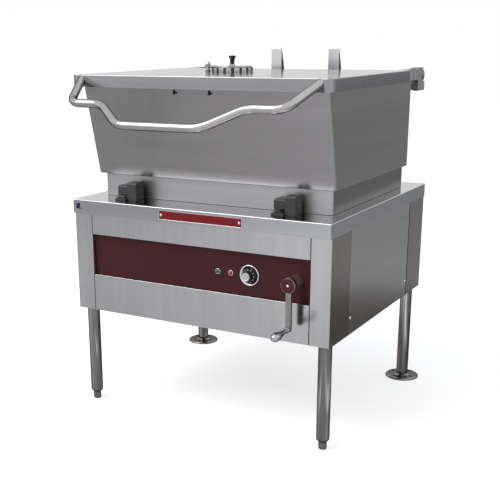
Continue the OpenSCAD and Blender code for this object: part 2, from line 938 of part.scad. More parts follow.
module crank_screw() {
    y1 = arm_front - crank_disc_t;
    sub_part(bright) bar_y(crank_x, crank_axis_z, crank_screw_r, y1 - crank_screw_h, y1);
}

// Grip outline as shares of its length and of its bulb radius
grip_length_shares = [0.10, 0.14, 0.30, 0.45, 0.62, 0.76, 0.88, 0.96, 1];
grip_radius_shares = [0.62, 0.5, 0.48, 0.6, 0.86, 1, 0.92, 0.66, 0.2];

module crank_grip() {
    sub_part(bright) translate([crank_x, grip_back, grip_z]) rotate([90, 0, 0]) difference() {
        rotate_extrude() polygon(concat(
            [[0, 0], [grip_collar_r, 0]],
            [for (i = [0 : len(grip_length_shares) - 1])
                [grip_radius_shares[i] * grip_d / 2, grip_length_shares[i] * grip_l]],
            [[0, grip_l]]
        ));
        translate([0, 0, -cut]) cylinder(r = stud_r + run_gap, h = stud_l + face_gap + cut);
    }
}

// Gear teeth

function involute(base_r, r) =
    let (a = acos(min(1, base_r / r)))
    tan(a) * 180 / PI - a;

function tooth_half_angle(teeth, m, backlash, r) =
    let (pitch_r = m * teeth / 2)
    let (base_r = pitch_r * cos(pressure))
    (PI * m / 2 - backlash) / 2 / pitch_r * 180 / PI
    + involute(base_r, pitch_r) - involute(base_r, max(r, base_r));

// Outline of one tooth from its lower to its upper flank, at an angle
function tooth_points(teeth, m, backlash, angle) =
    let (pitch_r = m * teeth / 2)
    let (root = pitch_r - m * dedendum_share)
    let (tip = pitch_r + m * addendum_share)
    let (low = max(root, pitch_r * cos(pressure)))
    let (radii = [root, (2 * low + tip) / 3, (low + 2 * tip) / 3, tip])
    concat(
        [for (i = [0 : 3]) let (a = angle - tooth_half_angle(teeth, m, backlash, radii[i]))
            radii[i] * [cos(a), sin(a)]],
        [for (i = [3 : -1 : 0]) let (a = angle + tooth_half_angle(teeth, m, backlash, radii[i]))
            radii[i] * [cos(a), sin(a)]]
    );

module gear_outline(teeth, m, backlash, first_angle) {
    polygon([for (i = [0 : teeth - 1])
        each tooth_points(teeth, m, backlash, first_angle + i * 360 / teeth)]);
}

module pinion() {
    sub_part(steel) difference() {
        along_x(sector_x - pinion_w / 2, sector_x + pinion_w / 2) translate([gear_y, gear_z])
            gear_outline(pinion_teeth, sector_module, tooth_backlash, 180 + mesh_angle + 180 / pinion_teeth);
        bar_x(gear_y, gear_z, shaft_r, sector_x - pinion_w, sector_x + pinion_w);
    }
}

module worm_wheel() {
    sub_part(bronze) difference() {
        along_x(crank_x - wheel_w / 2, crank_x + wheel_w / 2) translate([gear_y, gear_z])
            gear_outline(wheel_teeth, wheel_module, wheel_backlash, -90 + 180 / wheel_teeth);
        bar_x(gear_y, gear_z, shaft_r, crank_x - wheel_w, crank_x + wheel_w);
    }
}

module cross_shaft() {
    sub_part(steel) {
        bar_x(gear_y, gear_z, shaft_r, frame_left - frame_t, frame_right + frame_t);
        bar_x(gear_y, gear_z, shaft_collar_r, sector_x + pinion_w / 2, crank_x - wheel_w / 2);
    }
}

module gear_frame() {
    sub_part(grey_cast) difference() {
        union() {
            for (x = [frame_left - frame_t, frame_right]) {
                block(x, x + frame_t, frame_front, frame_rear + frame_t, frame_bottom, deck_under);
            }
            block(frame_left, frame_right, frame_rear, frame_rear + frame_t,
                frame_bottom, frame_bottom + frame_bridge_h);
            block(frame_left - frame_t - frame_flange, frame_left - frame_t, frame_front, frame_rear + frame_t,
                deck_under - frame_flange_t, deck_under);
            block(frame_right + frame_t, frame_right + frame_t + frame_flange, frame_front,
                frame_rear + frame_t, deck_under - frame_flange_t, deck_under);
        }
        bar_x(gear_y, gear_z, shaft_r + run_gap, frame_left - frame_t - cut, frame_right + frame_t + cut);
        bar_y(crank_x, crank_axis_z, shaft_r + run_gap, frame_rear - cut, frame_rear + frame_t + cut);
    }
}

// Angles of the sector's teeth, in the pan's rest position
sector_pitch = 360 / sector_full_teeth;
sector_first = floor((-tilt_travel - sector_margin_angle) / sector_pitch);
sector_last = ceil(sector_margin_angle / sector_pitch);

module sector_outline() {
    a0 = mesh_angle + sector_first * sector_pitch;
    a1 = mesh_angle + sector_last * sector_pitch;
    inner_steps = 12;
    polygon(concat(
        [for (i = [sector_first : sector_last])
            each tooth_points(sector_full_teeth, sector_module, tooth_backlash, mesh_angle + i * sector_pitch)],
        [for (i = [0 : inner_steps]) let (a = a1 + (a0 - a1) * i / inner_steps)
            sector_in_r * [cos(a), sin(a)]]
    ));
    rim = sector_in_r + 2 * slot_gap;
    polygon([
        [web_front, pan_bottom - pad_t - pivot_z], [web_rear, pan_bottom - pad_t - pivot_z],
        [web_rear, -pivot_out], rim * [cos(a1), sin(a1)],
        rim * [cos(a1 - tilt_travel / 2), sin(a1 - tilt_travel / 2)], [web_front, -pivot_out]
    ]);
}

module sector_gear() {
    sub_part(steel) {
        along_x(sector_x - sector_w / 2, sector_x + sector_w / 2)
            translate([pivot_y, pivot_z]) sector_outline();
        block(sector_x - pad_w / 2, sector_x + pad_w / 2, pivot_y + web_front, pivot_y + web_rear,
            pan_bottom - pad_t, pan_bottom);
    }
}

// Electrical pieces inside the cabinet

module contactor() {
    y1 = back_y - sheet_t;
    x = -half_w + contactor_side;
    z = cabinet_bottom + contactor_up;
    sub_part(black) block(x, x + contactor_size[0], y1 - contactor_size[1], y1, z, z + contactor_size[2]);
}

module terminal_block() {
    y1 = back_y - sheet_t;
    x = -half_w + terminal_side;
    z = cabinet_bottom + terminal_up;
    step = terminal_size[0] / terminal_count;
    sub_part([0.85, 0.83, 0.75]) difference() {
        block(x, x + terminal_size[0], y1 - terminal_size[1], y1, z, z + terminal_size[2]);
        for (i = [0 : terminal_count - 1]) {
            bar_y(x + step * (i + 1 / 2), z + terminal_size[2] / 2, step / 4,
                y1 - terminal_size[1] - cut, y1 - terminal_size[1] / 2);
        }
    }
}

module cable_gland() {
    sub_part(black) difference() {
        union() {
            bar_y(gland_x, gland_z, gland_r, back_y - sheet_t, back_y);
            bar_y(gland_x, gland_z, gland_nut_r, back_y, back_y + gland_out);
            bar_y(gland_x, gland_z, gland_nut_r, back_y - 2 * sheet_t - gland_out / 4, back_y - sheet_t);
        }
        bar_y(gland_x, gland_z, gland_bore_r, back_y - gland_out, back_y + gland_out + cut);
    }
}

// Pan

// The pan's outer body, moved in by a wall on the sides and by a floor at the bottom
module pan_body(wall, bottom, top) {
    y0 = pan_front_y + wall;
    lean = pan_lean / pan_h;
    x = pan_half_w - wall;
    r = pan_edge_r - wall;
    z0 = pan_bottom + bottom;
    intersection() {
        along_x(-x, x) polygon([
            [y0 - lean * bottom, z0], [pan_rear_y - wall, z0],
            [pan_rear_y - wall, top], [y0 - lean * (top - pan_bottom), top]
        ]);
        along_y(pan_rim_front_y - pan_lean, pan_rear_y + cut) {
            rounded(-x, x, z0, pan_rim - r, r);
            translate([-x, z0 + r]) square([2 * x, top - z0 - r]);
        }
    }
}

module pan_vessel() {
    sub_part(steel) {
        difference() {
            pan_body(0, 0, pan_rim);
            pan_body(pan_wall, pan_floor, pan_rim + cut);
        }
        block(-pan_half_w + pan_wall, pan_half_w - pan_wall, pan_rear_y - rear_strip_w, pan_rear_y - pan_wall,
            pan_rim - strip_t, pan_rim);
    }
}

module pan_skirt() {
    sub_part(steel) {
        translate([0, 0, skirt_bottom]) linear_extrude(pan_bottom - skirt_bottom) difference() {
            rounded(-skirt_x, skirt_x, skirt_front_y, skirt_rear_y, skirt_r);
            rounded(-skirt_x + skirt_t, skirt_x - skirt_t, skirt_front_y + skirt_t, skirt_rear_y - skirt_t,
                skirt_r - skirt_t);
        }
        block(-skirt_x + skirt_r, skirt_x - skirt_r, pan_rear_y - skirt_r, skirt_rear_y - skirt_t / 2,
            pan_bottom - skirt_t, pan_bottom);
    }
}

module heater_blocks() {
    y0 = skirt_front_y + heater_front;
    sub_part([0.6, 0.6, 0.62]) for (i = [0 : heater_count - 1]) {
        x0 = heater_left + i * (heater_w + heater_gap);
        block(x0, x0 + heater_w, y0, y0 + heater_d, pan_bottom - heater_h, pan_bottom);
        for (share = [1 / 4, 3 / 4]) {
            bar_y(x0 + heater_w * share, pan_bottom - heater_h / 2, heater_tube_r,
                y0 + heater_d, y0 + heater_d + heater_gap);
        }
    }
}

module heater_cover() {
    x = skirt_x - skirt_t;
    z0 = deck_top + cover_lift;
    sub_part(steel) difference() {
        block(-x, x, skirt_front_y + skirt_t + skirt_r, skirt_rear_y - skirt_t - skirt_r, z0, z0 + cover_t);
        block(sector_x - sector_w / 2 - cover_gap, sector_x + sector_w / 2 + cover_gap,
            skirt_front_y, pivot_y + web_rear + cover_gap, z0 - cut, z0 + cover_t + cut);
    }
}

module pan_lugs() {
    sub_part(grey_cast) for (side = [-1, 1]) {
        x1 = side * pivot_x - pivot_gap / 2;
        difference() {
            union() {
                bar_x(pivot_y, pivot_z, lug_r, x1 - lug_w, x1);
                block(x1 - lug_w, x1, pivot_y, skirt_front_y, pivot_z - lug_r, pivot_z + lug_r);
            }
            bar_x(pivot_y, pivot_z, pin_r, x1 - lug_w - cut, x1 + cut);
        }
    }
}

module pivot_pins() {
    sub_part(bright) for (side = [-1, 1]) {
        x = side * pivot_x;
        bar_x(pivot_y, pivot_z, pin_r, x - lug_w - pivot_gap / 2, x + block_w + pivot_gap / 2);
    }
}

// Small hooks under the lid's front edge
module pan_hooks() {
    z1 = pan_rim - hook_down;
    lean = pan_lean / pan_h;
    y1 = pan_rim_front_y + lean * (hook_down + hook_h);
    sub_part(black) for (x = hook_x) {
        along_x(x - hook_w / 2, x + hook_w / 2) polygon([
            [y1, z1 - hook_h], [y1 - lean * hook_h, z1], [y1 - lean * hook_h - hook_d, z1],
            [y1 - lean * hook_h - hook_d, z1 - hook_h]
        ]);
    }
}

// Lid hinge

module hinge_brackets() {
    y0 = hinge_y - block_low_front;
    top = hinge_z - knuckle_r - side_gap;
    sub_part(dark_cast) both_sides() {
        block(hinge_in - ear_w - pivot_gap, hinge_half_w, pan_rear_y, y0, bar_top - bar_h, bar_top);
        block(hinge_half_w - cheek_w, hinge_half_w, y0, hinge_y - ear_r, top - block_low_h, top);
        block(hinge_in - ear_w - pivot_gap, hinge_half_w, hinge_y - ear_r, hinge_y + block_low_rear,
            top - block_low_h, top);
        difference() {
            union() {
                block(hinge_in - ear_w - pivot_gap, hinge_in - pivot_gap, hinge_y - ear_r, hinge_y + ear_r,
                    top, hinge_z);
                bar_x(hinge_y, hinge_z, ear_r, hinge_in - ear_w - pivot_gap, hinge_in - pivot_gap);
            }
            bar_x(hinge_y, hinge_z, hinge_shaft_r, hinge_in - ear_w - pivot_gap - cut, hinge_in - pivot_gap + cut);
        }
    }
}

module hinge_shaft() {
    x = hinge_half_w + seat_gap;
    sub_part(bronze) {
        bar_x(hinge_y, hinge_z, hinge_shaft_r, -x, x);
        both_sides() bar_x(hinge_y, hinge_z, shaft_cap_r, x, x + shaft_cap_t);
    }
}

module hinge_arms() {
    y1 = hinge_y - block_low_front;
    sub_part(steel) both_sides() difference() {
        union() {
            block(hinge_in, hinge_half_w, lid_rear_y, y1, lid_bottom, lid_top);
            block(hinge_in, hinge_half_w, y1, hinge_y, arm_bottom, arm_top);
            bar_x(hinge_y, hinge_z, knuckle_r, hinge_in, hinge_half_w);
        }
        bar_x(hinge_y, hinge_z, hinge_shaft_r + run_gap, hinge_in - cut, hinge_half_w + cut);
        block(hinge_half_w - arm_slot_w, hinge_half_w + cut, arm_slot_y, arm_slot_y + arm_slot_w,
            lid_top - arm_slot_w / 4 - arm_slot_h, lid_top - arm_slot_w / 4);
    }
}

// A rail between the hinge brackets carries the two uprights
module cross_rail() {
    x = hinge_in - ear_w - pivot_gap;
    sub_part(steel) block(-x, x, upright_y - rail_w, upright_y, bar_top - bar_h, bar_top);
}

module rear_uprights() {
    z0 = bar_top - bar_h;
    z1 = pan_rim + upright_up;
    sub_part(steel) for (side = [-1, 1]) {
        x = side * upright_x;
        block(x - upright_w / 2, x + upright_w / 2, upright_y, upright_y + upright_t, z0, z1);
        along_x(x + upright_w / 2 - upright_t, x + upright_w / 2) polygon([
            [upright_y + upright_t, z0], [upright_y + upright_t + upright_flange, z0],
            [upright_y + upright_t + upright_flange, lid_top], [upright_y + upright_t, z1]
        ]);
    }
}

// Lid

module lid_shell() {
    w = lid_half_w;
    inner_r = lid_r - lid_t;
    sub_part(steel) translate([0, 0, lid_bottom]) difference() {
        linear_extrude(lid_h) rounded(-w, w, lid_front_y, lid_rear_y, lid_r);
        translate([0, 0, lid_t]) linear_extrude(lid_h - 2 * lid_t)
            rounded(-w + lid_t, w - lid_t, lid_front_y + lid_t, lid_rear_y - lid_t, inner_r);
        translate([0, 0, -cut]) linear_extrude(lid_t + 2 * cut)
            rounded(-w + lid_flange_w, w - lid_flange_w, lid_front_y + lid_flange_w,
                lid_rear_y - lid_flange_w, inner_r);
        bar_z(vent_cx, vent_cy, vent_bore_d / 2, 0, lid_h + cut);
    }
}

function handle_points() = [
    [handle_end_x, lid_front_y + handle_r, lid_top - handle_end_drop + handle_r / 2],
    [handle_outer_x, lid_front_y - handle_outer_out, lid_top - handle_outer_drop],
    [handle_inner_x, lid_front_y - handle_outer_out, lid_top - handle_outer_drop],
    [handle_grip_x, lid_front_y - handle_grip_out, lid_top - handle_grip_drop]
];

module handle_bar(r) {
    points = handle_points();
    last = len(points) - 1;
    grip = points[last];
    both_sides() {
        for (i = [0 : last - 1]) {
            rod(points[i], points[i + 1], r);
        }
        for (i = [1 : last]) {
            translate(points[i]) sphere(r + run_gap);
        }
    }
    bar_x(grip[1], grip[2], r, -grip[0], grip[0]);
}

module lid_handle() {
    sub_part(steel) difference() {
        handle_bar(handle_r);
        handle_bar(handle_r - handle_wall);
        block(-lid_half_w, lid_half_w, lid_front_y, lid_rear_y, lid_bottom - lid_h, lid_top + lid_h);
    }
}

// Lid vent with a cover that swings round its post

module vent_ring() {
    sub_part(steel) difference() {
        bar_z(vent_cx, vent_cy, vent_d / 2, lid_top, vent_top);
        bar_z(vent_cx, vent_cy, vent_bore_d / 2, lid_top - cut, vent_top + cut);
    }
}

module vent_post() {
    arm_top_z = vent_top + 2 * seat_gap + vent_cover_t;
    sub_part(bright) {
        bar_z(post_cx, vent_cy, post_base_r, lid_top, vent_top);
        bar_z(post_cx, vent_cy, post_r, vent_top, arm_top_z);
        bar_z(post_cx, vent_cy, acorn_r, arm_top_z, arm_top_z + acorn_h / 2);
        translate([post_cx, vent_cy, arm_top_z + acorn_h / 2]) intersection() {
            sphere(acorn_r);
            cylinder(r = acorn_r, h = acorn_r);
        }
    }
}

module vent_cover() {
    z0 = vent_top + seat_gap;
    z1 = z0 + vent_cover_t;
    sub_part(steel) difference() {
        union() {
            bar_z(vent_cx, vent_cy, vent_cover_r, z0, z1);
            bar_z(vent_cx, vent_cy, vent_collar_r, z1, z1 + vent_collar_h);
            block(post_cx, vent_cx, vent_cy - vent_arm_w / 2, vent_cy + vent_arm_w / 2, z0, z1);
            bar_z(post_cx, vent_cy, vent_arm_w / 2, z0, z1);
        }
        bar_z(post_cx, vent_cy, post_r + run_gap, z0 - cut, z1 + cut);
    }
}

// Knob outline as shares of its height and radius
knob_height_shares = [0, 0.3, 0.6, 0.85, 0.96, 1];
knob_radius_shares = [0.6, 0.62, 0.78, 1, 0.95, 0.8];

module vent_knob() {
    z0 = vent_top + seat_gap + vent_cover_t + vent_collar_h;
    sub_part(black) translate([vent_cx, vent_cy, z0]) rotate_extrude() polygon(concat(
        [[0, 0]],
        [for (i = [0 : len(knob_height_shares) - 1])
            [knob_radius_shares[i] * vent_knob_d / 2, knob_height_shares[i] * vent_knob_h]],
        [[0, vent_knob_h]]
    ));
}

deck();
corner_posts();
side_panel_left();
side_panel_right();
panel_screws();
front_posts();
upper_strip();
control_panel();
lower_front_panel();
back_panel();
bottom_panel();
leg_sockets();
legs();
foot_front_left();
foot_front_right();
foot_rear_left();
foot_rear_right();
pivot_blocks();
pivot_block_bolts();
nameplate();
corner_tag();
lamp_bezels();
lamp_green();
lamp_red();
thermostat_body();
dial_plate();
thermostat_knob();
thermostat_cap();
crank_bearing();
gear_frame();
contactor();
terminal_block();
cable_gland();
crank_shaft();
crank_arm();
crank_disc();
crank_screw();
crank_grip();
cross_shaft();
worm_wheel();
pinion();
pan_vessel();
pan_skirt();
heater_blocks();
heater_cover();
pan_lugs();
pivot_pins();
sector_gear();
hinge_brackets();
hinge_shaft();
cross_rail();
rear_uprights();
pan_hooks();
lid_shell();
lid_handle();
hinge_arms();
vent_ring();
vent_post();
vent_cover();
vent_knob();
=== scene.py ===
# %% [markdown]
# # A tilting bratt pan, dressed from its construction model
# The construction model gives every solid, its place and its joints. This lesson gives the same machine its
# looks: folded sheet with rounded bends, a bent tube handle, turned knobs and feet, and finishes made from
# nodes. Lengths are metres, the floor is z = 0 and the front faces -Y. Each step has a few words on the real
# piece, on the ways it could be made, and on why one of them was taken.

# %% Load the construction model
import math

import bmesh
import bpy
from mathutils import Matrix, Vector


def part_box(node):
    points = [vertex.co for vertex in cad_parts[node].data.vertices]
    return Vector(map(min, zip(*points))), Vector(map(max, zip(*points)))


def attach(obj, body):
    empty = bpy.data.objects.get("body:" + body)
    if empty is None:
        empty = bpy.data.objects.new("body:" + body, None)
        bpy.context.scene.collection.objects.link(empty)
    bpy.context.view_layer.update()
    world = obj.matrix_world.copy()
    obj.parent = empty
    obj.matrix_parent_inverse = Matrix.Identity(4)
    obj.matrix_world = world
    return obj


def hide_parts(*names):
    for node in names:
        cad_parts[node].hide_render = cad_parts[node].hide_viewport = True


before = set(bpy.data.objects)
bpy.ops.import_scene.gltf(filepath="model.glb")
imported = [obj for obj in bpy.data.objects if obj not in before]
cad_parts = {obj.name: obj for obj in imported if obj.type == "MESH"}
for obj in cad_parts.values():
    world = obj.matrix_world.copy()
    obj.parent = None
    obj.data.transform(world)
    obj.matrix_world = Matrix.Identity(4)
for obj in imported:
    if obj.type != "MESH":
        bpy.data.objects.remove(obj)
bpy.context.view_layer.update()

# %% [markdown]
# ## The camera
# The photograph was taken from the front right, a little above the lid. Its place, its turn and its lens were
# solved from the corners of deck, cabinet, legs and feet. A look-at camera would be quicker, but the real one
# was framed off its axis, so the turn is written out and the small offset goes into the lens shift.

# %% Camera
image_side = 500
focal_px = 922.675
centre_px = (201.39, 307.96)
camera_place = (1.44756, -2.70880, 1.22185)
yaw, pitch, roll = -0.539, -0.287, -0.010
forward = Vector((math.sin(yaw) * math.cos(pitch), math.cos(yaw) * math.cos(pitch), math.sin(pitch)))
level_right = Vector((math.cos(yaw), -math.sin(yaw), 0))
level_up = level_right.cross(forward)
camera_right = level_right * math.cos(roll) + level_up * math.sin(roll)
camera_up = level_up * math.cos(roll) - level_right * math.sin(roll)

lens = bpy.data.cameras.new("photo_lens")
lens.sensor_width = 36
lens.lens = focal_px * lens.sensor_width / image_side
lens.shift_x = (image_side / 2 - centre_px[0]) / image_side
lens.shift_y = (centre_px[1] - image_side / 2) / image_side
camera = bpy.data.objects.new("photo_camera", lens)
bpy.context.scene.collection.objects.link(camera)
turn = Matrix((camera_right, camera_up, -forward)).transposed().to_4x4()
camera.matrix_world = Matrix.Translation(camera_place) @ turn
bpy.context.scene.camera = camera
bpy.context.scene.view_settings.view_transform = "Standard"
print("lens", round(lens.lens, 1), "mm, shift", round(lens.shift_x, 3), round(lens.shift_y, 3))

# %% [markdown]
# ## Shader sums in plain Python
# A finish is a network of nodes. Wiring each Math node by hand hides the idea, so one small class wraps a
# socket and lets Python's own operators add the nodes. Any other node comes from one method that takes its
# type, its settings and what goes into its sockets.

# %% Shader helpers
class Signal:
    """A number that varies over a surface, with Python's operators on it."""

    def __init__(self, finish, socket):
        self.finish, self.socket = finish, socket

    def sum_with(self, operation, other, turned=False):
        pair = (other, self) if turned else (self, other)
        return self.finish.signal("Math", dict(enumerate(pair)), operation=operation)

    __add__ = __radd__ = lambda self, other: self.sum_with("ADD", other)
    __mul__ = __rmul__ = lambda self, other: self.sum_with("MULTIPLY", other)
    __sub__ = lambda self, other: self.sum_with("SUBTRACT", other)
    __rsub__ = lambda self, other: self.sum_with("SUBTRACT", other, turned=True)
    __truediv__ = lambda self, other: self.sum_with("DIVIDE", other)

    def clamped(self, low, high):
        return self.finish.signal("Clamp", {"Value": self, "Min": low, "Max": high})


class Finish:
    """A material under construction."""

    def __init__(self, name, tree=None):
        if tree is None:
            self.material = bpy.data.materials.new(name)
            self.material.use_nodes = True
            tree = self.material.node_tree
        self.tree = tree
        self.tree.nodes.clear()

    def node(self, kind, sockets=(), **settings):
        made = self.tree.nodes.new("ShaderNode" + kind)
        for key, value in settings.items():
            setattr(made, key, value)
        for key, value in dict(sockets).items():
            socket = made.inputs[key]
            source = value.socket if isinstance(value, Signal) else value
            if isinstance(source, bpy.types.NodeSocket):
                self.tree.links.new(source, socket)
            elif isinstance(source, (tuple, list)) and socket.type == "RGBA":
                socket.default_value = (*source[:3], 1)
            else:
                socket.default_value = source
        return made

    def signal(self, kind, sockets=(), output=0, **settings):
        return Signal(self, self.node(kind, sockets, **settings).outputs[output])

    def place(self, stretch=(1, 1, 1)):
        point = self.node("TexCoord").outputs["Object"]
        return self.signal("VectorMath", {0: point, 1: stretch}, operation="MULTIPLY")

    def noise(self, stretch, scale, detail=3):
        return self.signal("TexNoise", {"Vector": self.place(stretch), "Scale": scale, "Detail": detail})

    def mix(self, factor, first, second):
        return self.signal("Mix", {0: factor, 6: first, 7: second}, output=2, data_type="RGBA")

    def bump(self, height, distance):
        return self.signal("Bump", {"Height": height, "Distance": distance, "Strength": 1})

    def surface(self, sockets):
        shader = self.node("BsdfPrincipled", sockets)
        self.node("OutputMaterial", {0: shader.outputs[0]})
        return self.material


def toned(colour, factor):
    return tuple(factor * v for v in colour)


def srgb(red, green, blue):
    """A colour given from 0 to 255, as the linear values that nodes want."""
    shares = [v / 255 for v in (red, green, blue)]
    return tuple(v / 12.92 if v <= 0.04045 else ((v + 0.055) / 1.055) ** 2.4 for v in shares)


print("shader helpers are ready")

# %% [markdown]
# ## The studio
# The machine stands on a white sweep. Bare metal shows the room rather than itself, so the room matters. The
# eye sees the sweep as white with a soft shadow. The metal sees it with painted light: less bright, brighter
# in front than behind, darker in a painted shadow to the right rear of the machine, and with two glowing
# strips that the polished legs pick up as painted highlights. Two soft lamps light the painted and the black
# pieces evenly. A room modelled round the machine would give the same reflections at a higher cost.

# %% Floor
def floor_finish():
    finish = Finish("studio_sweep")
    seen_by = finish.node("LightPath").outputs
    across = finish.node("SeparateXYZ", {0: finish.place()})
    right, back = Signal(finish, across.outputs[0]), Signal(finish, across.outputs[1])

    def away(signal, place, reach):
        """Squared distance from a place, as a share of a squared reach."""
        return (signal - place) * (signal - place) / reach ** 2

    def painted_light_strip(x, y, half_x, half_y):
        return 0.9 * (1 - away(right, x, half_x)).clamped(0, 1) * (1 - away(back, y, half_y)).clamped(0, 1)

    def blend(kind, factor, first, second):
        return finish.node(kind, dict(enumerate((*factor, first.outputs[0], second.outputs[0]))))

    # Painted shadow and painted light for glossy rays: a dark patch to the machine's right rear, more glow
    # towards the front, and two glowing strips that the legs mirror as highlights.
    painted_shadow_x, painted_shadow_y, painted_shadow_reach = 0.75, 1.0, 0.6 ** 0.5
    outside_painted_shadow = (away(right, painted_shadow_x, painted_shadow_reach) + away(back, painted_shadow_y, painted_shadow_reach)).clamped(0, 1)
    slope = (0.10 + 0.20 * right.clamped(-3, 0.2) - 0.12 * back).clamped(0.06, 0.45)
    glow = slope * outside_painted_shadow + painted_light_strip(0.88, -0.35, 0.16, 0.85) + painted_light_strip(0.08, -0.65, 0.14, 0.30)
    shade = finish.mix(outside_painted_shadow, (0.20, 0.19, 0.18), (0.46, 0.455, 0.46))
    lit = finish.node("BsdfDiffuse", {"Color": (0.8, 0.8, 0.8)})
    white = finish.node("Emission", {"Color": (1, 1, 1), "Strength": 0.60})
    dimmed = finish.node("BsdfDiffuse", {"Color": shade})
    front_glow = finish.node("Emission", {"Color": (0.96, 0.96, 1), "Strength": glow})
    seen = blend("MixShader", [seen_by["Is Camera Ray"]], lit, blend("AddShader", [], lit, white))
    both = blend("MixShader", [seen_by["Is Glossy Ray"]], seen, blend("AddShader", [], dimmed, front_glow))
    finish.node("OutputMaterial", {0: both.outputs[0]})
    return finish.material


bpy.ops.object.select_all(action="DESELECT")
sweep_side = 120
bpy.ops.mesh.primitive_plane_add(size=sweep_side, location=(0, 0, 0))
floor = bpy.context.object
floor.name = "studio_floor"
floor.data.materials.append(floor_finish())

# %% World and lamps
world = bpy.data.worlds.new("studio")
bpy.context.scene.world = world
world.use_nodes = True
sky = Finish("studio_sky", world.node_tree)
sky_path = sky.node("LightPath")
rays = [Signal(sky, sky_path.outputs[f"Is {kind} Ray"]) for kind in ("Camera", "Glossy", "Transmission")]
white_ray = sum(rays).clamped(0, 1)
sky_lit = sky.node("Background", {"Color": (0.95, 0.97, 1), "Strength": 0.55})
sky_white = sky.node("Background", {"Color": (1, 1, 1), "Strength": 1})
sky_mix = sky.node("MixShader", {0: white_ray, 1: sky_lit.outputs[0], 2: sky_white.outputs[0]})
sky.node("OutputWorld", {0: sky_mix.outputs[0]})


def soft_lamp(name, place, side, power):
    data = bpy.data.lights.new(name, "AREA")
    data.shape, data.size, data.energy = "SQUARE", side, power
    lamp = bpy.data.objects.new(name, data)
    bpy.context.scene.collection.objects.link(lamp)
    lamp.location = place
    lamp.rotation_euler = (lamp_target - Vector(place)).to_track_quat("-Z", "Y").to_euler()


lamp_target = Vector((0, 0, 0.6))
soft_lamp("overhead_softbox", (-1.4, -2.2, 3.9), 3.0, 95)
soft_lamp("front_softbox", (-3.2, -3.6, 4.2), 2.4, 50)
print("floor, sky and two soft lamps stand")

# %% [markdown]
# ## Finishes
# Nearly all of the machine is stainless sheet, ground with a fine belt, so its grain runs one way. A noise
# that is stretched fiftyfold along one axis gives that grain; a second, wide noise gives the cloudy look of
# cleaned metal. The grain feeds roughness, a hint of colour and a bump of a few hundredths of a millimetre.
# A low edge value darkens the rim of a polished tube, as the dark room behind the photographed one does.

# %% Stainless finishes
steel_colour = (0.60, 0.60, 0.605)
ground, fine_ground, polished = 0.00002, 0.00001, 0.000004


def steel_finish(name, grain, rough, colour=steel_colour, depth=ground, edge=0.85, wiped=0.12, streaks_and_sheen=0.12):
    finish = Finish(name)
    along = {"x": (0.02, 1, 1), "y": (1, 0.02, 1), "z": (1, 1, 0.02)}[grain]
    fine = finish.noise(along, 900, 2)
    wide = finish.noise(along, 60, 2)
    cloud = finish.noise((1, 1, 0.6), 3.2, 5)
    smear = ((cloud - 0.52) * 5).clamped(0, 1)
    shade = (1 - 0.5 * streaks_and_sheen + 0.12 * (fine - 0.5) + 2 * streaks_and_sheen * (wide - 0.5) - wiped * smear).clamped(0, 1)
    tint = finish.mix(shade, toned(colour, 0.35), colour)
    polish = (rough - 0.05 + 0.06 * fine + 0.04 * wide + 0.2 * wiped * smear).clamped(0.03, 1)
    return finish.surface({
        "Base Color": tint, "Metallic": 1.0, "Roughness": polish,
        "Specular Tint": (edge, edge, edge), "Normal": finish.bump(fine + 0.6 * wide, depth)})


sheet_across = steel_finish("sheet_ground_across", "x", 0.17)
sheet_deep = steel_finish("sheet_ground_front_to_back", "y", 0.15, (0.58, 0.56, 0.545), wiped=0.3)
# A darker, warmer copy of the field's steel for the side strips: painted shade.
strip_steel_painted_shade = steel_finish("side_strip_painted_shade", "z", 0.15, (0.38, 0.355, 0.33), wiped=0.3)
sheet_upright = steel_finish("sheet_ground_upright", "z", 0.17)
plate_steel = steel_finish("upright_plate_ground", "z", 0.20, (0.78, 0.785, 0.80), wiped=0.05)
skirt_steel = steel_finish("skirt_ground_across", "x", 0.34, (0.50, 0.495, 0.505))
# A darker copy of the skirt's steel for its sides: painted shade.
painted_shade_skirt_side = steel_finish("skirt_side_ground", "y", 0.26, (0.25, 0.24, 0.235))
# The pan's front takes a darker steel than its sides: painted shade and painted light on one sheet.
pan_front_painted_shade = steel_finish("pan_ground_across", "x", 0.22, (0.355, 0.345, 0.345), wiped=0.25)
pan_side = steel_finish("pan_side_ground", "y", 0.20, (0.41, 0.40, 0.395), wiped=0.2)
pan_inside = steel_finish("pan_inside_ground", "x", 0.34, (0.80, 0.79, 0.78), wiped=0.1)
deck_steel = steel_finish("deck_ground_across", "x", 0.12, (0.54, 0.545, 0.56), fine_ground)
lid_steel = steel_finish("lid_ground_across", "x", 0.12, (0.47, 0.475, 0.49), fine_ground, 0.6)
# A darker copy of the lid's steel for its skirt: painted shade.
lid_rim_painted_shade = steel_finish("lid_rim_ground", "x", 0.16, (0.42, 0.415, 0.425), fine_ground, 0.6)
tube_steel = steel_finish("tube_polished", "x", 0.07, (0.50, 0.485, 0.485), polished, 0.12)
# The legs' strong upright streaks are partly polish marks and partly painted reflections.
leg_steel = steel_finish("leg_tube_polished", "z", 0.10, (0.66, 0.64, 0.62), fine_ground, 0.10, streaks_and_sheen=1.5)
foot_steel = steel_finish("foot_cast_polished", "x", 0.24, (0.25, 0.24, 0.235), fine_ground, 0.3)
vent_steel = steel_finish("vent_turned", "z", 0.09, (0.46, 0.455, 0.46), polished, 0.2)
sleeve_steel = steel_finish("sleeve_turned", "y", 0.36, (0.58, 0.57, 0.58), fine_ground, 0.5)
print("steel finishes:", len(bpy.data.materials))

# %% [markdown]
# ### Plated, cast and turned metal
# Bright pieces are plated and show sharp reflections with faint wipe marks. Castings are duller: a coarse
# noise makes the sand grain, and darker hollows show where paint or oil stays.

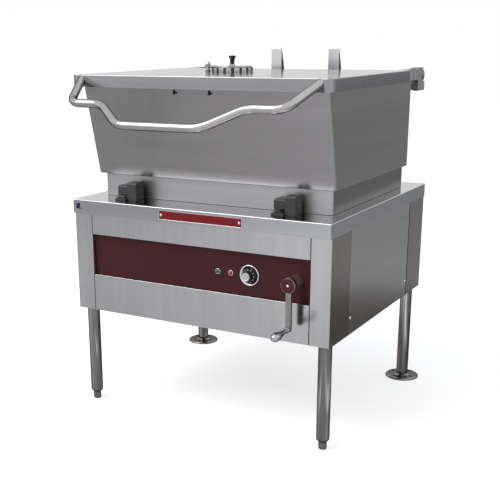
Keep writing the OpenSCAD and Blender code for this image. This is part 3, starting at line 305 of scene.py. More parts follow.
# %% Plated and cast finishes
def plated_finish(name, colour, rough, edge=0.9):
    finish = Finish(name)
    wipe = finish.noise((1, 1, 0.3), 24, 4)
    polish = (rough + 0.07 * wipe).clamped(0.02, 1)
    tint = finish.mix(wipe, toned(colour, 0.9), colour)
    return finish.surface({"Base Color": tint, "Metallic": 1.0, "Roughness": polish,
                           "Specular Tint": (edge, edge, edge)})


def cast_finish(name, colour, rough, metal, grit=700):
    finish = Finish(name)
    sand = finish.noise((1, 1, 1), grit, 4)
    patch = finish.noise((1, 1, 1), 30, 3)
    tint = finish.mix((0.35 * sand + 0.65 * patch).clamped(0, 1), toned(colour, 0.55), toned(colour, 1.35))
    polish = (rough - 0.1 + 0.2 * patch).clamped(0.05, 1)
    return finish.surface({
        "Base Color": tint, "Metallic": metal, "Roughness": polish,
        "Normal": finish.bump(sand, 0.00012)})


chrome = plated_finish("chrome_plate", (0.78, 0.78, 0.80), 0.05)
# The grip's low edge value paints a dark reflection round its outline.
grip_chrome = plated_finish("grip_chrome", (0.52, 0.52, 0.56), 0.03, 0.05)
rim_chrome = plated_finish("hub_rim", (0.42, 0.41, 0.41), 0.12, 0.5)
brushed_cap = plated_finish("turned_cap", (0.70, 0.70, 0.71), 0.22)
hinge_bronze = plated_finish("hinge_bronze", (0.32, 0.25, 0.14), 0.22)
dark_casting = cast_finish("dark_casting", (0.040, 0.037, 0.036), 0.42, 0.0)
grey_casting = cast_finish("grey_casting", (0.30, 0.295, 0.285), 0.38, 1.0)
arm_metal = cast_finish("crank_arm_metal", (0.34, 0.325, 0.29), 0.30, 1.0, 500)
hub_metal = cast_finish("crank_hub_metal", (0.11, 0.105, 0.10), 0.26, 1.0, 500)
# Painted shade: a near-black metal for the crank arm's back and sides and for the walls of the vent flutes.
painted_shade_metal = cast_finish("crank_arm_sides", (0.07, 0.066, 0.06), 0.40, 1.0, 500)
block_metal = cast_finish("hinge_block_metal", (0.33, 0.32, 0.33), 0.38, 1.0, 500)

# %% [markdown]
# ### Coloured pieces
# The control panel carries a burgundy film with a gloss coat, the nameplate a red enamel, the knobs black
# phenolic. Each gets a faint change of tone and most get a coat, so that none looks like flat paint.

# %% Coloured finishes
def coated_finish(name, colour, rough, coat, grain=260, shine=0.3):
    finish = Finish(name)
    speck = finish.noise((1, 1, 1), grain, 3)
    cloud = finish.noise((1, 1, 1), 6, 3)
    tint = finish.mix((0.4 * speck + 0.6 * cloud).clamped(0, 1), toned(colour, 0.8), toned(colour, 1.25))
    polish = (rough - 0.05 + 0.1 * cloud).clamped(0.03, 1)
    return finish.surface({
        "Base Color": tint, "Roughness": polish, "Coat Weight": coat, "Coat Roughness": 0.08,
        "Specular IOR Level": shine, "Normal": finish.bump(speck, 0.00002)})


burgundy_film = coated_finish("burgundy_film", srgb(68, 27, 30), 0.30, 0.0, shine=0.2)
disc_enamel = coated_finish("disc_enamel", srgb(72, 20, 28), 0.34, 0.1)
red_enamel = coated_finish("red_enamel", srgb(118, 6, 20), 0.30, 0.15)
navy_enamel = coated_finish("navy_enamel", srgb(38, 50, 92), 0.30, 0.4)
black_phenolic = coated_finish("black_phenolic", srgb(18, 18, 20), 0.22, 0.1, 500)
black_paint = coated_finish("black_paint", srgb(13, 13, 14), 0.40, 0.05, 700)
seam_shadow = coated_finish("seam_shadow", srgb(28, 27, 27), 0.60, 0.0, 700)
pale_mark = coated_finish("pale_mark", srgb(225, 225, 220), 0.40, 0.0, 500)
ivory_plastic = coated_finish("ivory_plastic", srgb(222, 214, 190), 0.38, 0.1, 600)
green_lens = coated_finish("green_lens", srgb(18, 88, 48), 0.10, 0.8, 90)
red_lens = coated_finish("red_lens", srgb(190, 22, 24), 0.10, 0.8, 90)
wheel_bronze = cast_finish("wheel_bronze", (0.50, 0.36, 0.16), 0.32, 1.0, 500)
print("finishes in all:", len(bpy.data.materials))

# %% [markdown]
# ## Bench tools
# The same few moves come back on every piece: start from a primitive, pick faces or edges by their place,
# round the bends, cut a hole, and hand the piece over to its body. They are written once here.

# %% Start and pick
X, Y, Z = range(3)
turns = {"x": (0, math.pi / 2, 0), "-y": (math.pi / 2, 0, 0), "z": (0, 0, 0)}


def leave_all():
    if bpy.context.mode != "OBJECT":
        bpy.ops.object.mode_set(mode="OBJECT")
    bpy.ops.object.select_all(action="DESELECT")


def take(piece):
    leave_all()
    piece.select_set(True)
    bpy.context.view_layer.objects.active = piece


def fix_place(piece, name):
    piece.name = name
    bpy.ops.object.transform_apply(location=True, rotation=True, scale=True)
    return piece


def block(name, low, high):
    """A block between two corners, as a start."""
    leave_all()
    low, high = Vector(low), Vector(high)
    bpy.ops.mesh.primitive_cube_add(size=1, location=(low + high) / 2, scale=high - low)
    return fix_place(bpy.context.object, name)


def round_bar(name, centre, axis, radius, length, sides=48):
    """A round bar by its middle, as a start."""
    leave_all()
    bpy.ops.mesh.primitive_cylinder_add(vertices=sides, radius=radius, depth=length, location=centre,
                                        rotation=turns[axis])
    return fix_place(bpy.context.object, name)


def pick(piece, kind, test=lambda part: True):
    """Goes into edit mode with the parts selected that the test accepts."""
    take(piece)
    bpy.ops.object.mode_set(mode="EDIT")
    bpy.ops.mesh.select_mode(type=kind)
    bpy.ops.mesh.select_all(action="DESELECT")
    mesh = bmesh.from_edit_mesh(piece.data)
    for part in {"VERT": mesh.verts, "EDGE": mesh.edges, "FACE": mesh.faces}[kind]:
        if test(part):
            part.select_set(True)
    mesh.select_flush_mode()
    bmesh.update_edit_mesh(piece.data)


def facing(axis, sign):
    """Faces whose normal points along an axis, one way (1 or -1) or both ways (0)."""
    return lambda face: (face.normal[axis] * sign if sign else abs(face.normal[axis])) > 0.9


def running(axis, test=lambda middle: True):
    """Edges that run along an axis and whose middle passes the test."""
    def check(edge):
        a, b = (vert.co for vert in edge.verts)
        way = b - a
        return abs(way[axis]) > 0.95 * way.length and test((a + b) / 2)
    return check


def above(height):
    return lambda middle: middle.z > height


def middle_and_half(node):
    """The middle of a node's box and half its size."""
    low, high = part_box(node)
    return (low + high) / 2, (high - low) / 2


def around(middle, radius, degrees, level=True):
    """A place on a circle that lies level or faces the front."""
    one, other = radius * math.cos(math.radians(degrees)), radius * math.sin(math.radians(degrees))
    return Vector(middle) + Vector((one, other, 0) if level else (one, 0, other))


print("bench tools: start and pick")

# %% Round, cut and join
def modifier(piece, kind, **settings):
    take(piece)
    bpy.ops.object.modifier_add(type=kind)
    made = piece.modifiers[-1]
    for key, value in settings.items():
        setattr(made, key, value)
    bpy.ops.object.modifier_apply(modifier=made.name)
    return piece


def round_edges(piece, radius, segments=2, angle=40):
    return modifier(piece, "BEVEL", width=radius, segments=segments, limit_method="ANGLE",
                    angle_limit=math.radians(angle), use_clamp_overlap=True)


def bend_edges(piece, test, radius, segments=5):
    """Rounds the picked edges only, as a press brake does."""
    pick(piece, "EDGE", test)
    bpy.ops.mesh.bevel(offset=radius, segments=segments, affect="EDGES", clamp_overlap=True)
    leave_all()


def drop_faces(piece, test):
    pick(piece, "FACE", test)
    bpy.ops.mesh.delete(type="FACE")
    leave_all()


def push_faces(piece, test, shift):
    """Pulls the picked faces out, or sinks them, with new walls round them."""
    pick(piece, "FACE", test)
    bpy.ops.mesh.extrude_region_move(TRANSFORM_OT_translate={"value": shift})
    leave_all()


def slice_at(piece, axis, place):
    """Divides the faces where a plane across the axis meets them."""
    normal = Vector((0, 0, 0))
    normal[axis] = 1
    pick(piece, "FACE")
    bpy.ops.mesh.bisect(plane_co=place * normal, plane_no=normal)
    leave_all()


def move_points(piece, test, shift):
    pick(piece, "VERT", test)
    bpy.ops.transform.translate(value=shift)
    leave_all()


def thicken(piece, wall):
    """Gives a sheet its thickness, inwards from the face it shows."""
    return modifier(piece, "SOLIDIFY", thickness=wall, offset=-1, use_even_offset=True)


def combine(operation, piece, parts):
    for part in parts:
        modifier(piece, "BOOLEAN", object=part, operation=operation, solver="EXACT")
        bpy.data.objects.remove(part, do_unlink=True)
    return piece


def cut_with(piece, *cutters):
    return combine("DIFFERENCE", piece, cutters)


def weld(piece, *parts):
    return combine("UNION", piece, parts)


def join(name, *pieces):
    take(pieces[0])
    for piece in pieces[1:]:
        piece.select_set(True)
    bpy.ops.object.join()
    pieces[0].name = name
    return pieces[0]


def duplicate(piece):
    take(piece)
    bpy.ops.object.duplicate()
    return bpy.context.object


def mirrored(piece, name):
    """A left-hand copy with its own mesh."""
    copy = duplicate(piece)
    copy.scale = (-1, 1, 1)
    fix_place(copy, name)
    pick(copy, "FACE")
    bpy.ops.mesh.normals_make_consistent(inside=False)
    leave_all()
    return copy


def moved_copy(piece, name, shift):
    copy = duplicate(piece)
    copy.location = shift
    return fix_place(copy, name)


def mm(*numbers):
    """An outline typed in millimetres: radius, height, radius, height and so on."""
    metres = [number / 1000 for number in numbers]
    return list(zip(metres[::2], metres[1::2]))


def turned(name, outline, centre, axis, steps=64):
    """A lathe job: the outline is drawn point by point as (radius, height) and spun round its axis."""
    leave_all()
    bpy.ops.mesh.primitive_plane_add(size=0.001, location=(0, 0, 0))
    piece = bpy.context.object
    bpy.ops.object.mode_set(mode="EDIT")
    bpy.ops.mesh.select_mode(type="VERT")
    bpy.ops.mesh.select_all(action="SELECT")
    bpy.ops.mesh.merge(type="CENTER")
    points = [Vector((radius, 0, height)) for radius, height in outline]
    bpy.ops.transform.translate(value=points[0])
    for start, end in zip(points, points[1:]):
        bpy.ops.mesh.extrude_region_move(TRANSFORM_OT_translate={"value": end - start})
    bpy.ops.mesh.select_all(action="SELECT")
    bpy.ops.mesh.spin(steps=steps, angle=2 * math.pi, center=(0, 0, 0), axis=(0, 0, 1))
    bpy.ops.mesh.select_all(action="SELECT")
    bpy.ops.mesh.remove_doubles(threshold=0.00002)
    bpy.ops.mesh.normals_make_consistent(inside=False)
    bpy.ops.object.mode_set(mode="OBJECT")
    piece.rotation_euler = turns[axis]
    piece.location = centre
    return fix_place(piece, name)


print("bench tools: round, cut and join")

# %% Paint and hand over
def slots(piece, *finishes):
    """Fills the material slots. All faces start with the first one."""
    for finish in finishes:
        piece.data.materials.append(finish)


def give_finish(piece, index, test):
    pick(piece, "FACE", test)
    piece.active_material_index = index
    bpy.ops.object.material_slot_assign()
    leave_all()


def hand_over(piece, finish, body, replaced=(), angle=35):
    """Smooths the piece, paints it and lets it ride on its body."""
    take(piece)
    bpy.ops.object.shade_smooth_by_angle(angle=math.radians(angle))
    modifier(piece, "WEIGHTED_NORMAL", keep_sharp=True)
    leave_all()
    if finish is not None:
        piece.data.materials.clear()
        piece.data.materials.append(finish)
    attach(piece, body)
    if replaced:
        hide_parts(*replaced)
    print(piece.name, len(piece.data.polygons), "faces")


def hand_over_both(piece, left_name, finish, body, replaced, angle=35, left_replaced=()):
    """Hands over a right-hand piece and its mirror image."""
    left = mirrored(piece, left_name)
    hand_over(piece, finish, body, replaced, angle)
    hand_over(left, finish, body, left_replaced, angle)


# %% [markdown]
# ## Deck
# The deck is one sheet folded down on all four sides, with a slot under the pan for the tilt sector. Drawing
# the folded shell directly would leave sharp edges, so a block is rounded at its bends first, opened below
# and then given the sheet's thickness. The bright line along its front edge comes from that bend.

# %% Deck
sheet = 0.002
deck_low, deck_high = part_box("deck")

deck = block("deck_sheet", deck_low, deck_high)
deck_bends = (running(X, above(deck_high.z - sheet)), running(Y, above(deck_high.z - sheet)), running(Z))
bend_edges(deck, lambda edge: any(bend(edge) for bend in deck_bends), 0.0024, 4)
drop_faces(deck, facing(Z, -1))
thicken(deck, sheet)
slot_x = middle_and_half("sector_gear")[0].x
slot_front, slot_rear, slot_half = -0.2142, -0.1192, 0.010
cut_with(deck, block("slot_cutter", (slot_x - slot_half, slot_front, deck_high.z - 0.01),
                     (slot_x + slot_half, slot_rear, deck_high.z + 0.01)))
hand_over(deck, deck_steel, "base", ["deck"])

# %% [markdown]
# ## Side panels
# Each side is a sheet with a field pressed in by a millimetre between two upright strips. The field could be
# a bump only, but its edges read as fine dark lines from every side, so they are cut as real grooves, with
# dirt and painted shade on their walls. The strips are ground upright and carry a darker, warmer copy of the
# field's steel: painted shade.

# %% Side panels
side_low, side_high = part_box("side_panel_right")
strip_w, groove, press, groove_deep = 0.144, 0.004, 0.001, 0.0006
field_front, field_rear = side_low.y + strip_w, side_high.y - strip_w
grooves = ((field_front, field_front + groove), (field_rear - groove, field_rear))


def across(start, end):
    """Faces on the outside of the sheet whose middle lies between two depths."""
    return lambda face: face.normal.x > 0.9 and start < face.calc_center_median().y < end


side = block("side_sheet_right", side_low, side_high)
for y in (*grooves[0], *grooves[1]):
    slice_at(side, Y, y)
slots(side, sheet_deep, strip_steel_painted_shade, seam_shadow)
push_faces(side, across(field_front, field_rear), (-press, 0, 0))
# The groove walls take seam_shadow: dirt and painted shade in the seams.
for ends in grooves:
    push_faces(side, across(*ends), (-groove_deep, 0, 0))
    give_finish(side, 2, across(*ends))
# The strips take the darker copy of the steel: painted shade.
for ends in ((side_low.y, field_front), (field_rear, side_high.y)):
    give_finish(side, 1, across(*ends))
hand_over_both(side, "side_sheet_left", None, "base", ["side_panel_right"],
               left_replaced=["side_panel_left"])

# %% [markdown]
# ## Cabinet front
# Between two upright corner posts sit an upper strip, the recessed control panel and a lower panel whose
# edge folds back as a ledge. The dark seams beside the posts are real gaps, so every sheet is its own piece.
# A fine groove below the ledge stands for the hem of the lower panel.

# %% Front sheets
post_low, post_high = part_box("front_posts")
panel_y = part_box("control_panel")[0].y
strip_low, strip_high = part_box("upper_strip")
lower_low, lower_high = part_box("lower_front_panel")
seam, post_wrap = 0.0012, 0.0019
post_inner = strip_high.x + seam
post_face = block("corner_post_right", (post_inner, post_low.y, post_low.z),
                  (post_high.x + post_wrap, post_low.y + sheet, deck_high.z - sheet))
post_return = block("post_return", (post_inner, post_low.y + sheet, lower_high.z),
                    (post_inner + sheet, panel_y, strip_low.z))
post = join("corner_post_right", post_face, post_return)
round_edges(post, 0.0012, 3, 60)
hand_over_both(post, "corner_post_left", sheet_upright, "base", ["front_posts"])


def folded_front(name, low, high, fold_z):
    """A front sheet whose edge at fold_z turns back to the control panel."""
    piece = block(name, (low.x + seam, low.y, low.z), (high.x - seam, low.y + sheet, high.z))
    slice_at(piece, Z, fold_z - sheet if fold_z > (low.z + high.z) / 2 else fold_z + sheet)
    push_faces(piece, lambda face: face.normal.y > 0.9 and abs(face.calc_center_median().z - fold_z) < sheet,
               (0, high.y - low.y - sheet, 0))
    return round_edges(piece, 0.0009, 3, 60)


upper_strip = folded_front("upper_strip_sheet", strip_low, strip_high, strip_low.z)
lower_panel = folded_front("lower_panel_sheet", lower_low, lower_high, lower_high.z)
hem_z, hem_h, hem_deep, past = lower_high.z - 0.0055, 0.0024, 0.0012, 0.01
cut_with(lower_panel, block("hem_cutter", (lower_low.x - past, lower_low.y - past, hem_z - hem_h),
                            (lower_high.x + past, lower_low.y + hem_deep, hem_z)))
hand_over(upper_strip, sheet_upright, "base", ["upper_strip"])
hand_over(lower_panel, sheet_upright, "base", ["lower_front_panel"])

# %% [markdown]
# ## Legs and feet
# The legs are polished tube. The two front ones end in bullet feet, the rear ones in flanges for floor bolts.
# Both kinds of foot are lathe work; the flange is then drilled and its edges are rounded.

# %% Legs
legs_low, legs_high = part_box("legs")
leg_r = 0.02065
leg_x, leg_front, leg_rear = legs_high.x - leg_r, legs_low.y + leg_r, legs_high.y - leg_r
tube_r, stem_r = 1000 * leg_r, 12.2
leg_parts = []
for y, foot_z in ((leg_front, 0.0343), (leg_rear, 0.0133)):
    leg_l = 1000 * (legs_high.z - foot_z)
    for x in (-leg_x, leg_x):
        leg_parts.append(turned("leg_tube", mm(
            stem_r, 0, tube_r - 1.2, 0, tube_r, 1.2, tube_r, leg_l, tube_r - 2, leg_l, tube_r - 2, 30,
            stem_r, 30, stem_r, 0), (x, y, foot_z), "z"))
hand_over(join("leg_tubes", *leg_parts), leg_steel, "base", ["legs"])

# %% Feet
def foot_pair(left, right_name, bodies, nodes, angle=35):
    """The left foot and its copy under the right leg, each on its own body."""
    right = moved_copy(left, right_name, (2 * leg_x, 0, 0))
    for foot, body, node in zip((left, right), bodies, nodes):
        hand_over(foot, foot_steel, body, [node], angle)


bullet = turned("bullet_foot_left", mm(
    0, 0, 8.6, 0, 11.2, 1.2, 12.6, 3.6, 13, 6.5, 13, 23.5, 13.5, 25.2, 19.6, 32.2, 20.4, 33.4, 20.4, 34,
    12, 34, 12, 94, 0, 94), (-leg_x, leg_front, 0), "z")
foot_pair(bullet, "bullet_foot_right", ("foot_1", "foot_2"), ("foot_front_left", "foot_front_right"))
flange_r = 1000 * middle_and_half("foot_rear_left")[1].x
flange = turned("flanged_foot_left", mm(
    0, 0, flange_r - 0.8, 0, flange_r, 0.8, flange_r, 2.8, flange_r - 0.8, 4.6, flange_r - 3, 6.6,
    flange_r - 7, 7.8, flange_r - 12, 8, 34, 8, 30, 8.4, 26.5, 9.8, 21.5, 12.8, 20.8, 13, 12, 13, 12, 73,
    0, 73), (-leg_x, leg_rear, 0), "z", 96)
hole_circle_r, hole_r, first_hole = 0.040, 0.0055, 70
for index in range(4):
    spot = around((-leg_x, leg_rear, 0.004), hole_circle_r, first_hole + 90 * index)
    cut_with(flange, round_bar("drill", spot, "z", hole_r, 0.03, 32))
foot_pair(flange, "flanged_foot_right", ("foot_3", "foot_4"), ("foot_rear_left", "foot_rear_right"), 30)

# %% [markdown]
# ## Pivot bearings
# The pan tips on two pins at its front. Beside each dark bearing block on the deck stands the pan's own lug,
# a boss round the pin. Both are castings: blocks with large chamfers and softly rounded edges.

# %% Bearing blocks
bearing_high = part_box("pivot_blocks")[1]
pin_y, pin_z = -0.25715, 0.740
block_w, lug_w, pivot_gap, foot_h = 0.034, 0.037, 0.001, 0.0065
pivot_x = bearing_high.x - block_w - pivot_gap
head_front, head_rear, foot_front, foot_rear = pin_y - 0.022, pin_y + 0.025, pin_y - 0.036, pin_y + 0.020
chamfer, bore_r = 0.005, 0.0082


def bearing(name, x0):
    base_z = deck_high.z
    head = block(name, (x0, head_front, base_z), (x0 + block_w, head_rear, bearing_high.z))
    bend_edges(head, running(X, above(base_z + 0.01)), chamfer, 1)
    foot = block("bearing_foot", (x0 - lug_w - 0.002, foot_front, base_z),
                 (x0 + 0.001, foot_rear, base_z + foot_h))
    round_edges(head, 0.0012, 3, 30)
    round_edges(foot, 0.001, 2, 30)
    bore = round_bar("bore", (x0 + block_w / 2, pin_y, pin_z), "x", bore_r, 2 * block_w, 32)
    return cut_with(join(name, head, foot), bore)


for name, side_sign, replaced in (("bearing_block_right", 1, ["pivot_blocks"]),
                                  ("bearing_block_left", -1, [])):
    hand_over(bearing(name, side_sign * pivot_x + pivot_gap), dark_casting, "base", replaced, 25)

# %% Pan lugs and bolts
lug_half = 0.017
skirt_low, skirt_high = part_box("pan_skirt")


def lug(name, x1):
    boss = block(name, (x1 - lug_w, pin_y - lug_half, pin_z - lug_half),
                 (x1, pin_y + lug_half, pin_z + lug_half))
    bend_edges(boss, running(X), 0.006, 5)
    weld(boss, block("lug_neck", (x1 - lug_w, pin_y, pin_z - lug_half),
                     (x1, skirt_low.y + 0.0005, pin_z + lug_half)))
    return round_edges(boss, 0.001, 2, 50)


for name, side_sign, replaced in (("pan_lug_right", 1, ["pan_lugs"]), ("pan_lug_left", -1, [])):
    hand_over(lug(name, side_sign * pivot_x - pivot_gap), dark_casting, "pan", replaced, 25)

bolt_parts, washer_t = [], 0.0012
for side_sign in (-1, 1):
    for share in (1 / 4, 3 / 4):
        spot = Vector((side_sign * pivot_x - lug_w * share, pin_y - 0.028, deck_high.z + foot_h))
        washer = round_bar("washer", spot + Vector((0, 0, washer_t / 2)), "z", 0.0072, washer_t, 32)
        head = round_bar("bolt_head", spot + Vector((0, 0, washer_t + 0.0018)), "z", 0.0062, 0.0038, 6)
        bolt_parts += [round_edges(washer, 0.0003, 1), round_edges(head, 0.0005, 2)]
hand_over(join("bearing_bolts", *bolt_parts), hub_metal, "base", ["pivot_block_bolts"])

# %% [markdown]
# ## Pan
# The vessel is welded from bent sheet: upright sides, a front that leans out towards the rim and a thick
# floor. A block is sheared by moving its upper front edge, its bends are rounded, the top is opened and the
# wall is added inwards. A strip closes the rear of the rim, where the lid's hinge arms pass. The cooking
# surface is ground brighter than the outside.

# %% Vessel
pan_low, pan_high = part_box("pan_vessel")
pan_lean, pan_wall, floor_t, rim_strip_w = 0.067, 0.003, 0.010, 0.061
vessel = block("pan_shell", (pan_low.x, pan_low.y + pan_lean, pan_low.z), pan_high)
move_points(vessel, lambda vert: vert.co.y < 0 and vert.co.z > pan_high.z - pan_wall, (0, -pan_lean, 0))


def front_upright(edge):
    a, b = (vert.co for vert in edge.verts)
    return abs(a.z - b.z) > 0.2 and a.y + b.y < 0


bend_edges(vessel, front_upright, 0.011, 6)
bend_edges(vessel, running(Y, lambda middle: middle.z < pan_low.z + 0.002), 0.019, 8)
drop_faces(vessel, facing(Z, 1))
thicken(vessel, pan_wall)
floor_plate = block("pan_floor_plate", (pan_low.x + 0.02, pan_low.y + pan_lean + 0.0035, pan_low.z + 0.0025),
                    (pan_high.x - 0.02, pan_high.y - 0.0035, pan_low.z + floor_t))
rear_strip = block("rim_strip", (pan_low.x + 0.0025, pan_high.y - rim_strip_w, pan_high.z - pan_wall),
                   (pan_high.x - 0.0025, pan_high.y - 0.0005, pan_high.z - 0.0001))
round_edges(rear_strip, 0.0006)
vessel = join("pan_shell", vessel, floor_plate, rear_strip)
slots(vessel, pan_front_painted_shade, pan_side, pan_inside)


def inside_pan(face):
    middle = face.calc_center_median()
    inward = middle.x * face.normal.x + middle.y * face.normal.y < -0.02
    return inward or (face.normal.z > 0.3 and middle.z < pan_low.z + 0.05)


# The sides take the lighter steel and the rest of the outside the darker one: painted light and painted
# shade.
give_finish(vessel, 1, facing(X, 0))
give_finish(vessel, 2, inside_pan)
hand_over(vessel, None, "pan", ["pan_vessel"], 30)

# %% [markdown]
# ## Skirt, hooks and rear frame
# Below the pan a skirt of sheet hides the heaters. It has the same make as the deck: round corners first,
# then a wall. Two small black hooks under the lid's edge and two plates behind the lid are bolted-on parts.

# %% Skirt
joint = 0.0035
skirt = block("skirt_sheet", skirt_low + Vector((0, 0, 0.0005)), skirt_high - Vector((0, 0, joint)))
bend_edges(skirt, running(Z), 0.010, 8)
drop_faces(skirt, facing(Z, 0))
thicken(skirt, sheet)
skirt_return = block("skirt_return", (skirt_low.x + 0.01, skirt_high.y - 0.021, skirt_high.z - joint),
                     (skirt_high.x - 0.01, skirt_high.y - 0.001, skirt_high.z - 0.0001))
skirt = join("skirt_sheet", skirt, skirt_return)
# The skirt's sides take the darker copy: painted shade.
slots(skirt, skirt_steel, painted_shade_skirt_side)
give_finish(skirt, 1, facing(X, 0))
hand_over(skirt, None, "pan", ["pan_skirt"])

# %% Hooks
hook_low, hook_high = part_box("pan_hooks")
hook_half = 0.006
hook_parts = []
for x in (hook_low.x + hook_half, hook_high.x - hook_half):
    plate = block("hook_plate", (x - 0.0035, hook_low.y + 0.0030, hook_low.z),
                  (x + 0.0015, hook_high.y, hook_high.z))
    lip = block("hook_lip", (x - 0.0035, hook_low.y + 0.0005, hook_low.z),
                (x + hook_half, hook_low.y + 0.0045, hook_low.z + 0.0045))
    hook_parts += [round_edges(plate, 0.0008, 2), round_edges(lip, 0.0012, 3)]
hand_over(join("pan_hook_pair", *hook_parts), black_paint, "pan", ["pan_hooks"])

# %% Uprights behind the lid
upright_low, upright_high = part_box("rear_uprights")
lid_low, lid_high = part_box("lid_shell")
upright_x, upright_half, upright_t = 0.113, 0.020, 0.004
wing_y = upright_low.y + upright_t
plates, wings = [], []
for x in (-upright_x, upright_x):
    plate = block("upright_plate", (x - upright_half, upright_low.y, upright_low.z),
                  (x + upright_half, wing_y, upright_high.z))
    bend_edges(plate, running(Y, above(lid_high.z)), 0.004, 4)
    plates.append(round_edges(plate, 0.0005, 2, 60))
    wing = block("upright_wing", (x + upright_half - upright_t, wing_y, upright_low.z),
                 (x + upright_half, upright_high.y, upright_high.z))
    slice_at(wing, Z, lid_high.z)
    move_points(wing, lambda vert: vert.co.y > upright_high.y - 0.001 and vert.co.z > upright_high.z - 0.001,
                (0, wing_y - upright_high.y + 0.001, 0))
    wings.append(round_edges(wing, 0.0006, 2, 60))
hand_over(join("upright_plates", *plates), plate_steel, "pan", ["rear_uprights"])
hand_over(join("upright_wings", *wings), black_paint, "pan", [])

# %% [markdown]
# ## Lid
# The lid is a shallow tray upside down: a flat top with rounded corners, a skirt all round and a narrow
# flange turned in below. The vent opening is cut through the top once the sheet has its thickness.

# %% Lid shell
lid_flange, vent_hole_r = 0.018, 0.050
lid = block("lid_tray", lid_low, lid_high)
bend_edges(lid, running(Z), 0.022, 10)
bend_edges(lid, lambda edge: all(vert.co.z > lid_high.z - 0.0005 for vert in edge.verts)
           and any(abs(face.normal.z) < 0.5 for face in edge.link_faces), 0.0016, 3)
pick(lid, "FACE", facing(Z, -1))
bpy.ops.mesh.inset(thickness=lid_flange)
bpy.ops.mesh.delete(type="FACE")
leave_all()
thicken(lid, sheet)
vent, vent_half = middle_and_half("vent_ring")
cut_with(lid, round_bar("vent_cutter", (vent.x, vent.y, lid_high.z), "z", vent_hole_r, 0.02, 64))
slots(lid, lid_steel, lid_rim_painted_shade)
# Every face but the flat top takes the darker copy: painted shade on the lid's skirt.
give_finish(lid, 1, lambda face: face.normal.z < 0.99)
hand_over(lid, None, "lid", ["lid_shell"], 30)

# %% [markdown]
# ## Handle
# One bent tube runs across the lid's front: it leaves the lid near both ends, drops outwards, runs in, and
# drops again to the grip in the middle. A sweep along a rounded path gives the even bends of a tube bender,
# which a chain of bars with mitres wouldn't. The arcs are worked out at each corner from its two legs.

# %% Handle
def rounded_path(points, radii, steps=12):
    """Corner points turned into a smooth route with an arc at each inner corner."""
    route = [points[0]]
    for before, corner, after, radius in zip(points, points[1:], points[2:], radii):
        a, b = (before - corner).normalized(), (after - corner).normalized()
        half = a.angle(b) / 2
        reach = radius / math.tan(half)
        start, end = corner + a * reach, corner + b * reach
        middle = corner + (a + b).normalized() * (radius / math.sin(half))
        first, last = start - middle, end - middle
        for step in range(steps + 1):
            route.append(middle + first.slerp(last, step / steps) * radius)
    return route + [points[-1]]


def bent_tube(name, route, radius, sides=12):
    leave_all()
    bpy.ops.curve.primitive_nurbs_path_add()
    curve = bpy.context.object
    curve.location = (0, 0, 0)
    curve.data.splines.clear()
    spline = curve.data.splines.new("POLY")
    spline.points.add(len(route) - 1)
    for knot, place in zip(spline.points, route):
        knot.co = (*place, 1)
    curve.data.bevel_depth = radius
    curve.data.bevel_resolution = sides
    curve.data.use_fill_caps = True
    bpy.ops.object.convert(target="MESH")
    piece = fix_place(bpy.context.object, name)
    pick(piece, "FACE")
    bpy.ops.mesh.remove_doubles(threshold=0.00001)
    bpy.ops.mesh.normals_make_consistent(inside=False)
    leave_all()
    return piece


handle_r, end_bend, bend = 0.0127, 0.050, 0.085
right_half = [Vector(corner) for corner in (
    (0.411, -0.31845, 1.0994), (0.359, -0.45015, 1.030), (0.244, -0.45015, 1.030), (0.138, -0.52315, 0.978))]
left_half = [Vector((-p.x, p.y, p.z)) for p in reversed(right_half)]
bends = [end_bend] + 4 * [bend] + [end_bend]
handle = bent_tube("handle_tube", rounded_path(right_half + left_half, bends), handle_r)
cut_with(handle, block("front_cutter", (-0.45, lid_low.y + 0.0004, 1.0), (0.45, lid_low.y + 0.2, 1.2)))
hand_over(handle, tube_steel, "lid", ["lid_handle"], 50)

# %% [markdown]
# ## Lid vent
# A ring round the opening carries a swinging cover: a plate with an arm that turns on a post with an acorn
# nut, and a black knob to push it. All of it is lathe work but the arm. Cut flutes give the ring stripes that
# move with the light, as a painted pattern wouldn't; painted shade on the flutes' walls makes the dark ones.

# %% Vent ring, post and knob
ring_r, ring_h = 1000 * vent_half.x, 1000 * (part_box("vent_ring")[1].z - lid_high.z)
ring = turned("vent_ring_turned", mm(
    50, 0.1, ring_r, 0.1, ring_r, ring_h - 1.5, ring_r - 0.4, ring_h - 0.4, ring_r - 1.5, ring_h,
    51.5, ring_h, 50.4, ring_h - 0.4, 50, ring_h - 1.5, 50, 0.1), (vent.x, vent.y, lid_high.z), "z", 96)
flute_z = lid_high.z + ring_h / 1000 - 0.0065
flutes = [around((vent.x, vent.y, flute_z), vent_half.x + 0.0012, 22.5 * index - 84) for index in range(16)]
for index, spot in enumerate(flutes):
    cut_with(ring, round_bar("flute", spot, "z", 0.0042 if index % 2 else 0.0028, 0.0105, 24))


def in_flute(face):
    middle = face.calc_center_median()
    return abs(face.normal.z) < 0.5 and any((middle - spot).xy.length < 0.0044 for spot in flutes)


